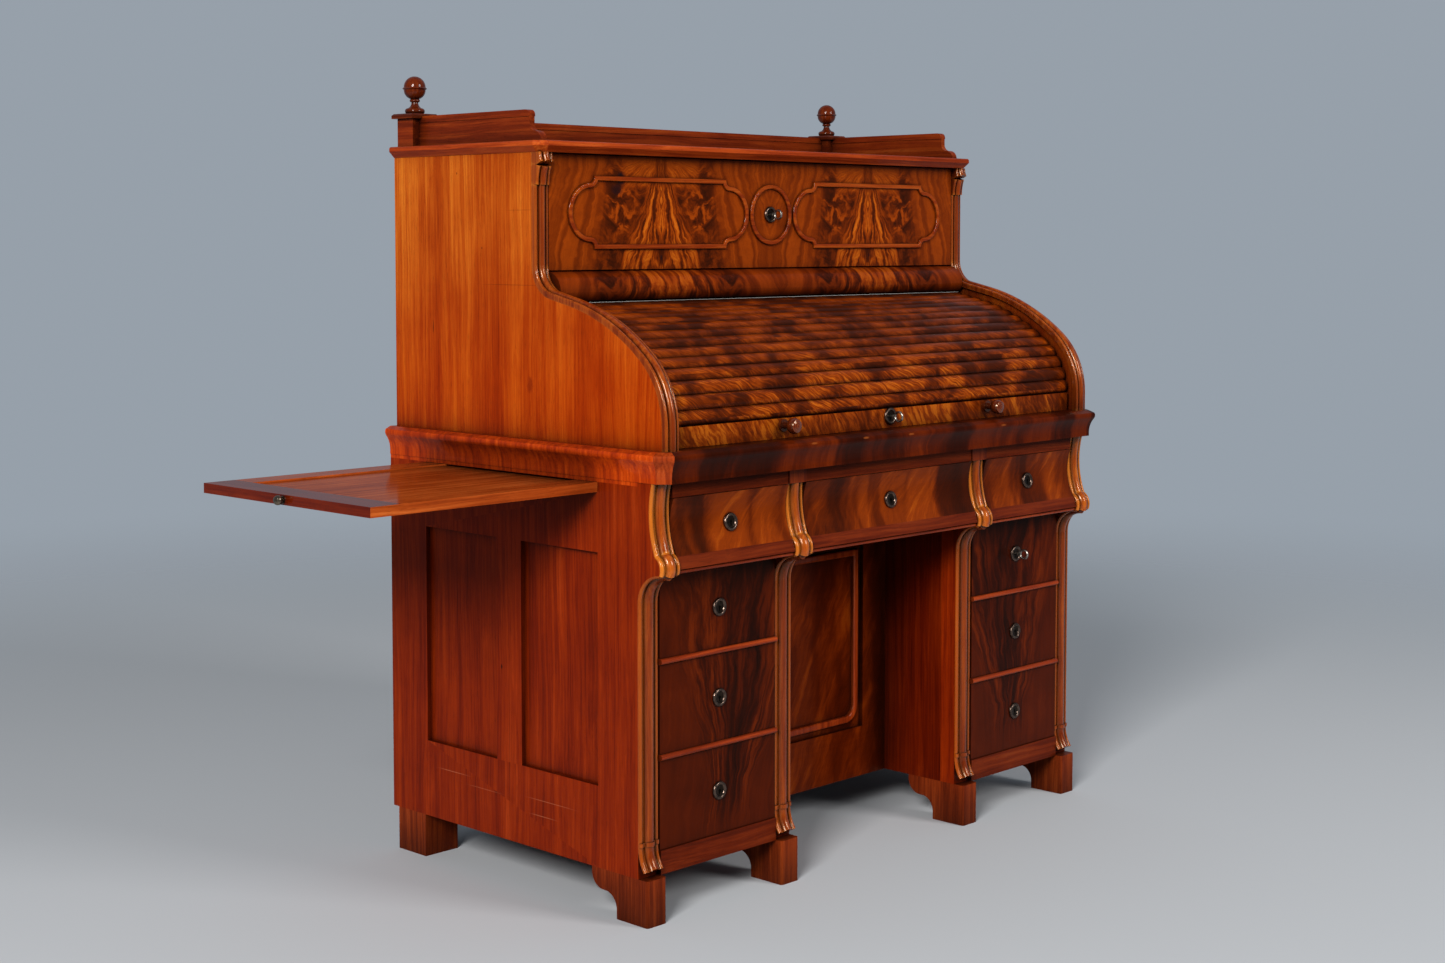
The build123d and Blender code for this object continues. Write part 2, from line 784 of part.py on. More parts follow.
def run_edges(point, runs):
    """Edges of an outline that starts upright, and the point where it ends."""
    edges = []
    heading = 0.0
    for size, turn in runs:
        middle, _ = run_end(point, heading, size, turn, 0.5)
        end, after = run_end(point, heading, size, turn)
        edges.append(bow(point, middle, end) if turn else line(point, end))
        point, heading = end, after
    return edges, point


def run_point(point, runs, length):
    """Point and heading at a length along an outline that starts upright."""
    heading = 0.0
    for size, turn in runs:
        reach = size * radians(abs(turn)) if turn else size
        if length <= reach:
            return run_end(point, heading, size, turn, length / reach)
        length -= reach
        point, heading = run_end(point, heading, size, turn)
    return run_end(point, heading, length, 0)


# Upper sides: boards with a front edge that rises upright, turns over the shoulder and the crown, and goes
# up the neck to the cornice
lean = radians(shoulder_turn + crown_turn)
shoulder_in = shoulder_radius * (1 - cos(radians(shoulder_turn)))
crown_in = crown_radius * (cos(radians(shoulder_turn)) - cos(lean))
neck_in = neck_radius * (1 - cos(lean))
slope_run = (upper_front_foot - upper_front_head - shoulder_in - crown_in - neck_in) / sin(lean)
spring_run = roll_seat_gap + lock_rail_height
curve_runs = [
    (spring_run, 0),
    (shoulder_radius, shoulder_turn),
    (crown_radius, crown_turn),
    (slope_run, 0),
    (neck_radius, -shoulder_turn - crown_turn),
]
edge_foot = (upper_front_foot, waist_top)
curve_edges, neck_end = run_edges(edge_foot, curve_runs)
edge_head = (upper_front_head, upper_top)
upper_side = along_x(
    [
        *curve_edges,
        *chain(neck_end, edge_head, (0, upper_top), (0, waist_top), edge_foot),
    ],
    upper_inner,
    upper_outer,
)
save("upper_sides", *both(upper_side))

# Reeded edges of the upper sides, each under a capital of a spreading bell and an overhanging head
edge_middle = upper_outer - edge_width / 2
capital_foot = upper_top - capital_height
capital_break = upper_top - capital_head_height
edge_path = [*curve_edges, line(neck_end, (upper_front_head, capital_foot))]
edge_strip = reeded(edge_middle, edge_path, edge_reeds)
flap_pin = Pos(0, -flap_pin_depth, flap_pin_height) * Rot(0, 90, 0) * Cylinder(
    flap_pin_radius, 2 * (edge_inner + flap_pin_seat)
)
bell_foot = (upper_front_head + capital_foot_proud, capital_foot)
bell_head = (upper_front_head + capital_neck_proud, capital_break)
head_lip = (upper_front_head + capital_lip_proud, capital_break)
head_top = (upper_front_head + capital_head_proud, upper_top)
capital_arcs = [
    (bell_foot, flare(bell_foot, bell_head), bell_head),
    (head_lip, flare(head_top, head_lip), head_top),
]
edge_pieces = [edge_strip - flap_pin]
for low, middle, high in capital_arcs:
    arc = bow(low, middle, high)
    room = board(edge_inner, upper_outer, 0, waist_front, low[1], high[1])
    backing = along_x(
        [arc, *chain(high, (upper_front_head, high[1]), (upper_front_head, low[1]), low)],
        edge_inner,
        upper_outer,
    )
    edge_pieces.append((reeded(edge_middle, [arc], edge_reeds) & room) + backing)
save("reeded_edges", *[half for piece in edge_pieces for half in both(piece)])

# Roll: slats on the inside of the upper sides' curve, each with a crowned face
roll_foot = (upper_front_foot - roll_recess, waist_top + roll_seat_gap)
roll_runs = [
    (lock_rail_height, 0),
    (shoulder_radius - roll_recess, shoulder_turn),
    (crown_radius - roll_recess, crown_turn),
    (roll_tail, 0),
]
roll_length = sum(size * radians(turn) if turn else size for size, turn in roll_runs)
slat_pitch = (roll_length - lock_rail_height) / slat_count


def roll_point(length, inward):
    """A point of the roll at a length along its face and a depth behind it."""
    (depth, height), heading = run_point(roll_foot, roll_runs, length)
    return depth - inward * cos(heading), height - inward * sin(heading)


slats = []
for index in range(slat_count):
    near = lock_rail_height + index * slat_pitch + slat_gap / 2
    far = near + slat_pitch - slat_gap
    face_near = roll_point(near, slat_crown)
    face_far = roll_point(far, slat_crown)
    slat_edges = [
        bow(face_near, roll_point((near + far) / 2, 0), face_far),
        *chain(face_far, roll_point(far, slat_thickness), roll_point(near, slat_thickness), face_near),
    ]
    slats.append(along_x(slat_edges, -roll_half, roll_half))
save("roll_slats", *slats)

# Lock rail: the lowest bar of the roll, with a keyhole and the two knobs
key_height = waist_top + roll_key_height
roll_face = roll_foot[0]
lock_rail = board(
    -roll_half,
    roll_half,
    roll_face - lock_rail_thickness,
    roll_face,
    roll_foot[1],
    roll_foot[1] + lock_rail_height - slat_gap / 2,
)


def key_hole(x, face, height):
    """The bore for a key's stem, into a front from its face."""
    reach = Cylinder(key_stem_radius + key_hole_gap, 2 * key_seat)
    return Pos(x, -face, height) * Rot(90, 0, 0) * reach


save("roll_lock_rail", lock_rail - key_hole(0, roll_face, key_height))

# End ribs: flat quadrants behind the slats, bored for the pivot pins
rib_inset = slat_thickness + rib_seat
rib_runs = [
    (lock_rail_height, 0),
    (shoulder_radius - roll_recess - rib_inset, shoulder_turn),
    (crown_radius - roll_recess - rib_inset, crown_turn),
    (roll_tail, 0),
]
rib_back = max(rib_inset, lock_rail_thickness + rib_seat)
rib_foot = (roll_face - rib_inset, roll_foot[1])
rib_curve, rib_end = run_edges(rib_foot, rib_runs)
pivot = (pivot_depth, pivot_height)
quadrant = along_x([*rib_curve, *chain(rib_end, pivot, rib_foot)], rib_inner, rib_outer)
rail_room = board(
    rib_inner,
    rib_outer,
    roll_face - rib_back,
    roll_face,
    waist_bottom,
    roll_foot[1] + lock_rail_height + rib_seat,
)
hub_place = Pos((rib_inner + rib_outer) / 2, -pivot_depth, pivot_height) * Rot(0, 90, 0)
hub = hub_place * Cylinder(rib_hub_radius, rib_thickness)
hub_bore = hub_place * Cylinder(pivot_radius + pivot_clearance, 2 * rib_thickness)
save("roll_ribs", *both(quadrant + hub - rail_room - hub_bore))

# Pivot pins of the roll and of the flap
roll_pin_end = bearer_inner + pivot_seat
roll_pin = Pos((rib_inner + roll_pin_end) / 2, -pivot_depth, pivot_height) * Rot(0, 90, 0) * Cylinder(
    pivot_radius, roll_pin_end - rib_inner
)
flap_pin_low = flap_half - flap_pin_engage
flap_pin_high = edge_inner + flap_pin_seat
flap_pin_middle = (flap_pin_low + flap_pin_high) / 2
short_pin = Pos(flap_pin_middle, -flap_pin_depth, flap_pin_height) * Rot(0, 90, 0) * Cylinder(
    flap_pin_radius, flap_pin_high - flap_pin_low
)
save("pivot_pins", *both(roll_pin), *both(short_pin))


def turned_knob(length, radius):
    """A turned knob: a ring, a neck and a round head with a flatter crown."""
    ring = radius * knob_ring_share
    neck = radius * knob_neck_share
    ring_top = length * knob_ring_height_share
    rim = radius * cos(radians(knob_crown_angle))
    crown = rim * knob_crown_share
    rim_height = length - crown
    centre = rim_height - radius * sin(radians(knob_crown_angle))
    neck_top = centre - sqrt(radius * radius - neck * neck)
    crown_radius = (rim * rim + crown * crown) / (2 * crown)
    crown_half = asin(rim / crown_radius) / 2
    crown_point = (crown_radius * sin(crown_half), length - crown_radius * (1 - cos(crown_half)))
    return turned([
        Line((0, 0), (ring, 0)),
        Line((ring, 0), (ring, ring_top)),
        Line((ring, ring_top), (neck, ring_top)),
        Line((neck, ring_top), (neck, neck_top)),
        ThreePointArc((neck, neck_top), (radius, centre), (rim, rim_height)),
        ThreePointArc((rim, rim_height), crown_point, (0, length)),
        Line((0, length), (0, 0)),
    ])


# Roll knobs on the lock rail
knob_height = waist_top + roll_knob_height
roll_knob = turned_knob(roll_knob_length, roll_knob_radius)
knob_turn = Pos(roll_knob_spacing / 2, -roll_face, knob_height) * Rot(90, 0, 0)
save("roll_knobs", *both(knob_turn * roll_knob))


def lock_key(x, face, height):
    """A key in its lock: a round stem with a collar and an upright ring for a bow."""
    stem_reach = key_seat + key_stem_length
    stem = Pos(0, 0, stem_reach / 2 - key_seat) * Cylinder(key_stem_radius, stem_reach)
    collar = Pos(0, 0, key_collar_place) * Cylinder(key_collar_radius, key_bow_wire)
    ring = Pos(0, 0, key_stem_length + key_bow_radius) * Rot(0, 90, 0) * Torus(key_bow_radius, key_bow_wire)
    return Pos(x, -face, height) * Rot(90, 0, 0) * (stem + collar + ring)


save("roll_key", lock_key(0, roll_face, key_height))

# Cushion rail under the flap: a round bolster on the front of the cabinet floor, over the end of the roll
cushion_high = flap_bottom - cushion_top_gap
cushion_low = cushion_high - cushion_height
cushion_face = flap_face + cushion_bulge
cushion_belly = (cushion_face, cushion_low + cushion_round)
cushion_toe = (cushion_face - cushion_undercut, cushion_low)
cushion_crown = (flap_face, cushion_high)
cushion_edges = [
    *chain(cushion_toe, (flap_back, cushion_low), (flap_back, cushion_high), cushion_crown),
    bow(cushion_crown, flare(cushion_belly, cushion_crown), cushion_belly),
    bow(cushion_belly, flare(cushion_belly, cushion_toe), cushion_toe),
]
save("cushion_rail", along_x(cushion_edges, -roll_half, roll_half))

# Cabinet floor behind the cushion rail, and the stop that the flap closes against
cabinet_floor_bottom = cushion_low + cabinet_floor_lift
floor_top = cabinet_floor_bottom + cabinet_floor_thickness
stop_front = flap_back - run_gap
save(
    "cabinet_boards",
    board(-upper_inner, upper_inner, back_thickness, flap_back, cabinet_floor_bottom, floor_top),
    board(
        -upper_inner,
        upper_inner,
        stop_front - flap_stop_depth,
        stop_front,
        upper_top - flap_stop_height,
        upper_top,
    ),
)

# Flap: a veneered panel on two pins, with a keyhole in the middle
flap_middle = (flap_bottom + flap_top) / 2
flap_bore = Pos(0, -flap_pin_depth, flap_pin_height) * Rot(0, 90, 0) * (
    Cylinder(flap_pin_radius + pivot_clearance, 2 * half_width)
    - Cylinder(2 * flap_pin_radius, 2 * (flap_pin_low - pivot_clearance))
)
flap = board(-flap_half, flap_half, flap_back, flap_face, flap_bottom, flap_top)
save("flap_panel", flap - flap_bore - key_hole(0, flap_face, flap_middle))

# Cartouche mouldings: two long frames with round ends and hollow ears, and a ring round the keyhole
cartouche = Rectangle(cartouche_length - 2 * cartouche_shoulder, cartouche_height)
for end in (-1, 1):
    cartouche += Pos(end * (cartouche_length / 2 - cartouche_end_radius), 0) * Circle(cartouche_end_radius)
ears = [
    corner
    for corner in cartouche.vertices()
    if cartouche_ear < abs(corner.Y) < cartouche_end_radius
]
cartouche = fillet(ears, cartouche_ear)
cartouche_ring = cartouche - offset(cartouche, -cartouche_band)
oval_ring = Circle(oval_diameter / 2) - Circle(oval_diameter / 2 - cartouche_band)
flap_plane = Plane.XZ.offset(flap_face)
flap_rings = [
    flap_plane * Pos(-cartouche_middle, flap_middle) * cartouche_ring,
    flap_plane * Pos(cartouche_middle, flap_middle) * cartouche_ring,
    flap_plane * Pos(0, flap_middle) * oval_ring,
]
flap_frames = [extrude(ring, cartouche_proud, dir=(0, -1, 0)) for ring in flap_rings]
save(
    "flap_mouldings",
    *[fillet(piece.faces().sort_by(Axis.Y)[0].edges(), cartouche_round) for piece in flap_frames],
)
save("flap_key", lock_key(0, flap_face, flap_middle))

# Cornice: the top board of the upper case, with canted corners, a round nose and a sloping underside
cornice_side = upper_outer + cornice_projection
cornice_front = head_top[0] + edge_reeds.proud + cornice_slope
cornice_plan = make_face(Polyline(
    (-cornice_side, 0),
    (-cornice_side, cornice_cant - cornice_front),
    (cornice_cant - cornice_side, -cornice_front),
    (cornice_side - cornice_cant, -cornice_front),
    (cornice_side, cornice_cant - cornice_front),
    (cornice_side, 0),
    close=True,
))


def nose_edges(piece, end):
    """Edges of the front and the sides of a board's lowest (0) or highest (-1) face."""
    face_edges = piece.faces().sort_by(Axis.Z)[end].edges()
    return [edge for edge in face_edges if (edge @ 0.5).Y < -cornice_nose]


cornice_board = extrude(Pos(0, 0, upper_top) * cornice_plan, cornice_height)
cornice_board = fillet(nose_edges(cornice_board, -1), cornice_nose)
save("cornice", chamfer(nose_edges(cornice_board, 0), cornice_slope))

# Gallery: banded boards round the top, side boards ending in a toe, a hollow and a round shoulder, and
# posts with cap plates behind
post_middle = cornice_side - cornice_projection - gallery_post_inset
post_depth_middle = gallery_post_setback + gallery_post / 2
gallery_top = cornice_top + gallery_height
board_start = gallery_post_setback + gallery_post
toe_back = gallery_front - gallery_toe
toe_top = cornice_top + gallery_toe
neck_depth = toe_back - gallery_hollow
hollow_top = toe_top + gallery_hollow
shoulder_low = gallery_top - gallery_shoulder
scroll_top = neck_depth - gallery_shoulder
quarter = sin(radians(45))
gallery_edges = [
    bow(
        (gallery_front, cornice_top),
        (toe_back + gallery_toe * quarter, cornice_top + gallery_toe * quarter),
        (toe_back, toe_top),
    ),
    bow(
        (toe_back, toe_top),
        (toe_back - gallery_hollow * quarter, hollow_top - gallery_hollow * quarter),
        (neck_depth, hollow_top),
    ),
    line((neck_depth, hollow_top), (neck_depth, shoulder_low)),
    bow(
        (neck_depth, shoulder_low),
        (scroll_top + gallery_shoulder * quarter, shoulder_low + gallery_shoulder * quarter),
        (scroll_top, gallery_top),
    ),
    *chain((scroll_top, gallery_top), (board_start, gallery_top), (board_start, cornice_top)),
    line((board_start, cornice_top), (gallery_front, cornice_top)),
]
thin = gallery_thickness / 2
thick = thin + gallery_band
band_low = gallery_top - gallery_top_band
base_high = cornice_top + gallery_base_band
side_shape = along_x(gallery_edges, post_middle - thick, post_middle + thick)
hollow_band = board(0, cornice_side, 0, gallery_front, base_high, band_low)
slim_core = board(post_middle - thin, post_middle + thin, 0, gallery_front, base_high, band_low)
side_gallery = side_shape - (hollow_band - slim_core)
back_end = post_middle - gallery_post / 2
back_gallery = board(
    -back_end, back_end, post_depth_middle - thick, post_depth_middle + thick, cornice_top, gallery_top
)
for face_sign in (-1, 1):
    face_middle = post_depth_middle + face_sign * (thin + thick) / 2
    back_gallery -= board(
        -back_end,
        back_end,
        face_middle - gallery_band / 2,
        face_middle + gallery_band / 2,
        base_high,
        band_low,
    )
post_top = cornice_top + gallery_post_height
gallery_upright = board(
    post_middle - gallery_post / 2,
    post_middle + gallery_post / 2,
    gallery_post_setback,
    board_start,
    cornice_top,
    post_top,
)
plate = Pos(post_middle, -post_depth_middle, post_top + cap_plate_height / 2) * Box(
    cap_plate, cap_plate, cap_plate_height
)
plate = chamfer(plate.faces().sort_by(Axis.Z)[-1].edges(), cap_plate_bevel)
plate_room = extrude(plate.faces().sort_by(Axis.Z)[0], gallery_height, dir=(0, 0, 1))
save(
    "gallery",
    *both(side_gallery - plate_room),
    back_gallery - plate_room - mirror(plate_room, about=Plane.YZ),
    *both(gallery_upright),
    *both(plate),
)

# Finials: turned balls with a sharp belt, on a bead, a neck and a round ring
ring_core = finial_ring_radius - finial_ring_height / 2
ring_top = finial_ring_height
neck_top = ring_top + finial_neck_height
bead_top = neck_top + finial_bead_height
belt_low = bead_top + finial_bulb_height
belt_high = belt_low + finial_belt_height
ball_top = belt_high + finial_ball_radius
neck_foot = (ring_core, ring_top)
neck_head = (finial_neck_radius, neck_top)
bulb_foot = (finial_bulb_foot, bead_top)
bulb_head = (finial_ball_radius, belt_low)
belt_edge = (finial_ball_radius + finial_belt, (belt_low + belt_high) / 2)
dome_foot = (finial_ball_radius, belt_high)
dome_slant = finial_ball_radius * sin(radians(45))
finial = turned([
    Line((0, 0), (ring_core, 0)),
    ThreePointArc((ring_core, 0), (finial_ring_radius, ring_top / 2), neck_foot),
    ThreePointArc(neck_foot, flare(neck_head, neck_foot), neck_head),
    ThreePointArc(neck_head, (finial_bead_radius, (neck_top + bead_top) / 2), bulb_foot),
    ThreePointArc(bulb_foot, flare(bulb_head, bulb_foot), bulb_head),
    Line(bulb_head, belt_edge),
    Line(belt_edge, dome_foot),
    ThreePointArc(dome_foot, (dome_slant, belt_high + dome_slant), (0, ball_top)),
    Line((0, ball_top), (0, 0)),
])
save("finials", *both(Pos(post_middle, -post_depth_middle, post_top + cap_plate_height) * finial))

# Pigeonholes standing on the writing board
hole_half = board_half - pigeonhole_end_gap
hole_top = writing_top + pigeonhole_height
hole_pitch = (2 * hole_half - pigeonhole_board) / pigeonhole_count
hole_floor = writing_top + pigeonhole_board
hole_ceiling = hole_top - pigeonhole_board
hole_back = pigeonhole_back + pigeonhole_board
pigeonholes = [
    board(-hole_half, hole_half, pigeonhole_back, pigeonhole_front, writing_top, hole_floor),
    board(-hole_half, hole_half, pigeonhole_back, pigeonhole_front, hole_ceiling, hole_top),
    board(-hole_half, hole_half, pigeonhole_back, hole_back, hole_floor, hole_ceiling),
]
for index in range(pigeonhole_count + 1):
    left = -hole_half + index * hole_pitch
    pigeonholes.append(
        board(left, left + pigeonhole_board, hole_back, pigeonhole_front, hole_floor, hole_ceiling)
    )
save("pigeonholes", *pigeonholes)

# Side slides: framed boards, the left one drawn out and the right one home
slide_top = slide_bottom + slide_thickness


def slide_boards(outer_end):
    """Rails, end clamp, inner rail and sunk panel of a slide whose outer end is at x on the right."""
    inner_end = outer_end - slide_length
    clamp_inner = outer_end - slide_clamp
    panel_start = inner_end + slide_rail
    back_rail_front = slide_back + slide_rail
    front_rail_back = slide_front - slide_rail
    return [
        board(clamp_inner, outer_end, slide_back, slide_front, slide_bottom, slide_top),
        board(inner_end, clamp_inner, slide_back, back_rail_front, slide_bottom, slide_top),
        board(inner_end, clamp_inner, front_rail_back, slide_front, slide_bottom, slide_top),
        board(inner_end, panel_start, back_rail_front, front_rail_back, slide_bottom, slide_top),
        board(
            panel_start,
            clamp_inner,
            back_rail_front,
            front_rail_back,
            slide_bottom,
            slide_top - slide_panel_drop,
        ),
    ]


slide_knob = turned_knob(slide_knob_length, slide_knob_radius)
knob_place = ((slide_back + slide_front) / 2, slide_bottom + slide_thickness / 2)
for side_name, outer_end in (("left", half_width + slide_out), ("right", half_width)):
    boards = slide_boards(outer_end)
    knob = Pos(outer_end, -knob_place[0], knob_place[1]) * Rot(0, 90, 0) * slide_knob
    if side_name == "left":
        boards = [mirror(piece, about=Plane.YZ) for piece in boards]
        knob = mirror(knob, about=Plane.YZ)
    save(f"{side_name}_slide", *boards)
    save(f"{side_name}_slide_knob", knob)


def drawer_box(x_low, x_high, d_back, d_front, z_low, z_high):
    """Sides, back and floor of a drawer, open above and closed in front by its own front."""
    left = x_low + drawer_gap
    right = x_high - drawer_gap
    floor = z_low + drawer_floor_lift
    above = floor + drawer_floor
    back = d_back + drawer_wall
    return [
        board(left, left + drawer_wall, d_back, d_front, z_low, z_high),
        board(right - drawer_wall, right, d_back, d_front, z_low, z_high),
        board(left + drawer_wall, right - drawer_wall, d_back, back, floor, z_high),
        board(left + drawer_wall, right - drawer_wall, back, d_front, floor, above),
    ]


# Pedestal drawers: flat veneered fronts; the key sits in the right top one
box_back = back_thickness + drawer_back_gap
front_back = drawer_face - drawer_front_thickness
level_names = ("bottom", "middle", "top")
for side_name, sign in (("left", -1), ("right", 1)):
    x_pair = sorted((sign * inner_post, sign * outer_post))
    for level, floor, ceiling in zip(level_names, opening_floors, opening_tops):
        z_low = floor + run_gap
        z_high = ceiling - drawer_gap
        front = board(x_pair[0] + drawer_gap, x_pair[1] - drawer_gap, front_back, drawer_face, z_low, z_high)
        if (side_name, level) == ("right", "top"):
            lock_x = (x_pair[0] + x_pair[1]) / 2
            lock_z = (z_low + z_high) / 2
            front -= key_hole(lock_x, drawer_face, lock_z)
            save("drawer_key", lock_key(lock_x, drawer_face, lock_z))
        box_top = z_high - guide_height
        save(f"{side_name}_{level}_drawer_front", front)
        save(
            f"{side_name}_{level}_drawer_box",
            *drawer_box(x_pair[0], x_pair[1], box_back, front_back, z_low, box_top),
        )

# Frieze drawers: hollow veneered fronts over a flat band
face_low = deck_top + run_gap
face_high = frieze_drawer_top - drawer_gap
band_high = face_low + frieze_band_height
face_bow = ((frieze_band_top + frieze_face_head) / 2 - frieze_face_bow, (band_high + face_high) / 2)
frieze_edges = [
    *chain((frieze_back_face, face_low), (frieze_face_foot, face_low), (frieze_band_top, band_high)),
    bow((frieze_band_top, band_high), face_bow, (frieze_face_head, face_high)),
    *chain((frieze_face_head, face_high), (frieze_back_face, face_high), (frieze_back_face, face_low)),
]
frieze_bays = (
    ("left", -outer_post, -inner_post),
    ("centre", -pedestal_inner, pedestal_inner),
    ("right", inner_post, outer_post),
)
for bay, x_low, x_high in frieze_bays:
    front = along_x(frieze_edges, x_low + drawer_gap, x_high - drawer_gap)
    save(f"frieze_{bay}_drawer_front", front)
    box_top = partition_top - drawer_gap
    save(
        f"frieze_{bay}_drawer_box",
        *drawer_box(x_low, x_high, box_back, frieze_back_face, face_low, box_top),
    )
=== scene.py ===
import json
import math

import bpy
from mathutils import Matrix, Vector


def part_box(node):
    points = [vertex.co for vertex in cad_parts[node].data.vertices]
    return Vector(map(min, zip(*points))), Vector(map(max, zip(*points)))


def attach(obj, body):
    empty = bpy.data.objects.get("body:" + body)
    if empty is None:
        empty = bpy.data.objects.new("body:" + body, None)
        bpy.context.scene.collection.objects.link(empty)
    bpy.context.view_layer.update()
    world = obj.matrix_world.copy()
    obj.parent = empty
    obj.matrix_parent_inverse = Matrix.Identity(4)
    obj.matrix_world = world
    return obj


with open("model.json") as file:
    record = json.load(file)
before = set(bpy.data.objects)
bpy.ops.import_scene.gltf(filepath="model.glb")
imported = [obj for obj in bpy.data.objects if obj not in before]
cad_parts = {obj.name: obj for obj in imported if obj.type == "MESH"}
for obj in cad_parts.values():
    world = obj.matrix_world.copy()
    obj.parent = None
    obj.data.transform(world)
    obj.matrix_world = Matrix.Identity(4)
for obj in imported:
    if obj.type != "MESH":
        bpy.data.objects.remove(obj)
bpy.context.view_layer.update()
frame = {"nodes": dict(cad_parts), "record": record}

# The desk's own frame: the CAD pieces, the box that they fill, and the middle of the case, which stands to
# the right of the origin because the left slide is drawn out.
nodes = frame["nodes"]
case_middle = sum(corner.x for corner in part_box("cornice")) / 2
bpy.ops.object.select_all(action="DESELECT")


# Feet: ogee brackets in front and blocks behind, sawn from solid mahogany and glued under the posts.
# Straight grain, red-brown, rubbed and dulled by years of cleaning round them.
def add_node(tree, kind, inputs, **settings):
    """A shader node with its settings; each input is a value or another node's output."""
    node = tree.nodes.new(kind)
    for name, value in settings.items():
        setattr(node, name, value)
    for socket, value in inputs.items():
        if isinstance(value, bpy.types.NodeSocket):
            tree.links.new(value, node.inputs[socket])
        else:
            node.inputs[socket].default_value = value
    return node


def calc(tree, operation, *values):
    """The result of one arithmetic step."""
    return add_node(tree, "ShaderNodeMath", dict(enumerate(values)), operation=operation).outputs[0]


def weigh(tree, base, *shares):
    """A base tone with shares of other values added, each share centred on a half."""
    total = base
    for value, weight in shares:
        total = calc(tree, "ADD", calc(tree, "MULTIPLY_ADD", value, weight, -weight / 2), total)
    return total


def spread(tree, value, low, high):
    """A value stretched so that low becomes 0 and high becomes 1, with soft ends."""
    inputs = {"Value": value, "From Min": low, "From Max": high}
    settings = {"interpolation_type": "SMOOTHSTEP"}
    return add_node(tree, "ShaderNodeMapRange", inputs, **settings).outputs["Result"]


def noise(tree, vector, scale, detail, roughness=0.55, distortion=0.0):
    """A noise value over stretched coordinates."""
    inputs = {
        "Vector": vector,
        "Scale": scale,
        "Detail": detail,
        "Roughness": roughness,
        "Distortion": distortion,
    }
    return add_node(tree, "ShaderNodeTexNoise", inputs).outputs["Fac"]


def vector_of(tree, x, y, z):
    """A vector from three values."""
    return add_node(tree, "ShaderNodeCombineXYZ", {"X": x, "Y": y, "Z": z}).outputs["Vector"]


def mapped(tree, vector, **changes):
    """Coordinates moved, turned or stretched."""
    return add_node(tree, "ShaderNodeMapping", {"Vector": vector, **changes}).outputs["Vector"]


def axes_of(tree, vector):
    """The three values of a vector."""
    return add_node(tree, "ShaderNodeSeparateXYZ", {0: vector}).outputs


def bend(tree, vector, scale, reach):
    """Coordinates pushed about by noise, up to half the reach each way along each axis."""
    push = add_node(tree, "ShaderNodeTexNoise", {"Vector": vector, "Scale": scale, "Detail": 2.0})
    half = tuple(-length / 2 for length in reach)
    centred = add_node(
        tree,
        "ShaderNodeVectorMath",
        {0: push.outputs["Color"], 1: reach, 2: half},
        operation="MULTIPLY_ADD",
    ).outputs["Vector"]
    return add_node(tree, "ShaderNodeVectorMath", {0: vector, 1: centred}, operation="ADD").outputs["Vector"]


def blend(tree, share, low, high):
    """A tone between two tones."""
    return add_node(tree, "ShaderNodeMix", {0: share, 2: low, 3: high}, data_type="FLOAT").outputs[0]


def tint(tree, share, colour, other):
    """A colour between two colours."""
    return add_node(tree, "ShaderNodeMix", {0: share, 6: colour, 7: other}, data_type="RGBA").outputs[2]


def tones(tree, factor, stops):
    """A colour for each tone from dark to light; stops are (place, colour)."""
    ramp = add_node(tree, "ShaderNodeValToRGB", {"Fac": factor})
    while len(ramp.color_ramp.elements) < len(stops):
        ramp.color_ramp.elements.new(1.0)
    for element, (place, colour) in zip(ramp.color_ramp.elements, stops):
        element.position = place
        element.color = (*colour, 1.0)
    return ramp.outputs["Color"]


def new_material(name):
    """A new material with its node tree and the place on the piece."""
    material = bpy.data.materials.new(name)
    material.use_nodes = True
    tree = material.node_tree
    return material, tree, add_node(tree, "ShaderNodeTexCoord", {}).outputs["Object"]


MARK_CORE = 0.35
MARK_RAGGEDNESS = (0.9, 0.9, 0.9)


def blemishes(tree, place, colour, marks):
    """Stains, cracks and scratches; each mark is (middle, half sizes, colour, strength).

    A mark is at its strongest within its core, and its rim is ragged.
    """
    for middle, sizes, mark_colour, strength in marks:
        local = mapped(
            tree,
            place,
            Location=tuple(-at / size for at, size in zip(middle, sizes)),
            Scale=tuple(1 / size for size in sizes),
        )
        ragged = bend(tree, local, 2.0, MARK_RAGGEDNESS)
        far = add_node(tree, "ShaderNodeVectorMath", {0: ragged}, operation="LENGTH").outputs["Value"]
        near = calc(tree, "MULTIPLY", spread(tree, far, 1.0, MARK_CORE), strength)
        colour = tint(tree, near, colour, (*mark_colour, 1.0))
    return colour


PAINTED_SHADE = (0.006, 0.002, 0.001, 1.0)
AMBER = (1.0, 0.55, 0.22, 1.0)
SHEEN_SWING = 0.07
GRAIN_HEIGHT = 0.0005
COAT_ROUGHNESS = 0.12
COAT_INDEX = 1.5


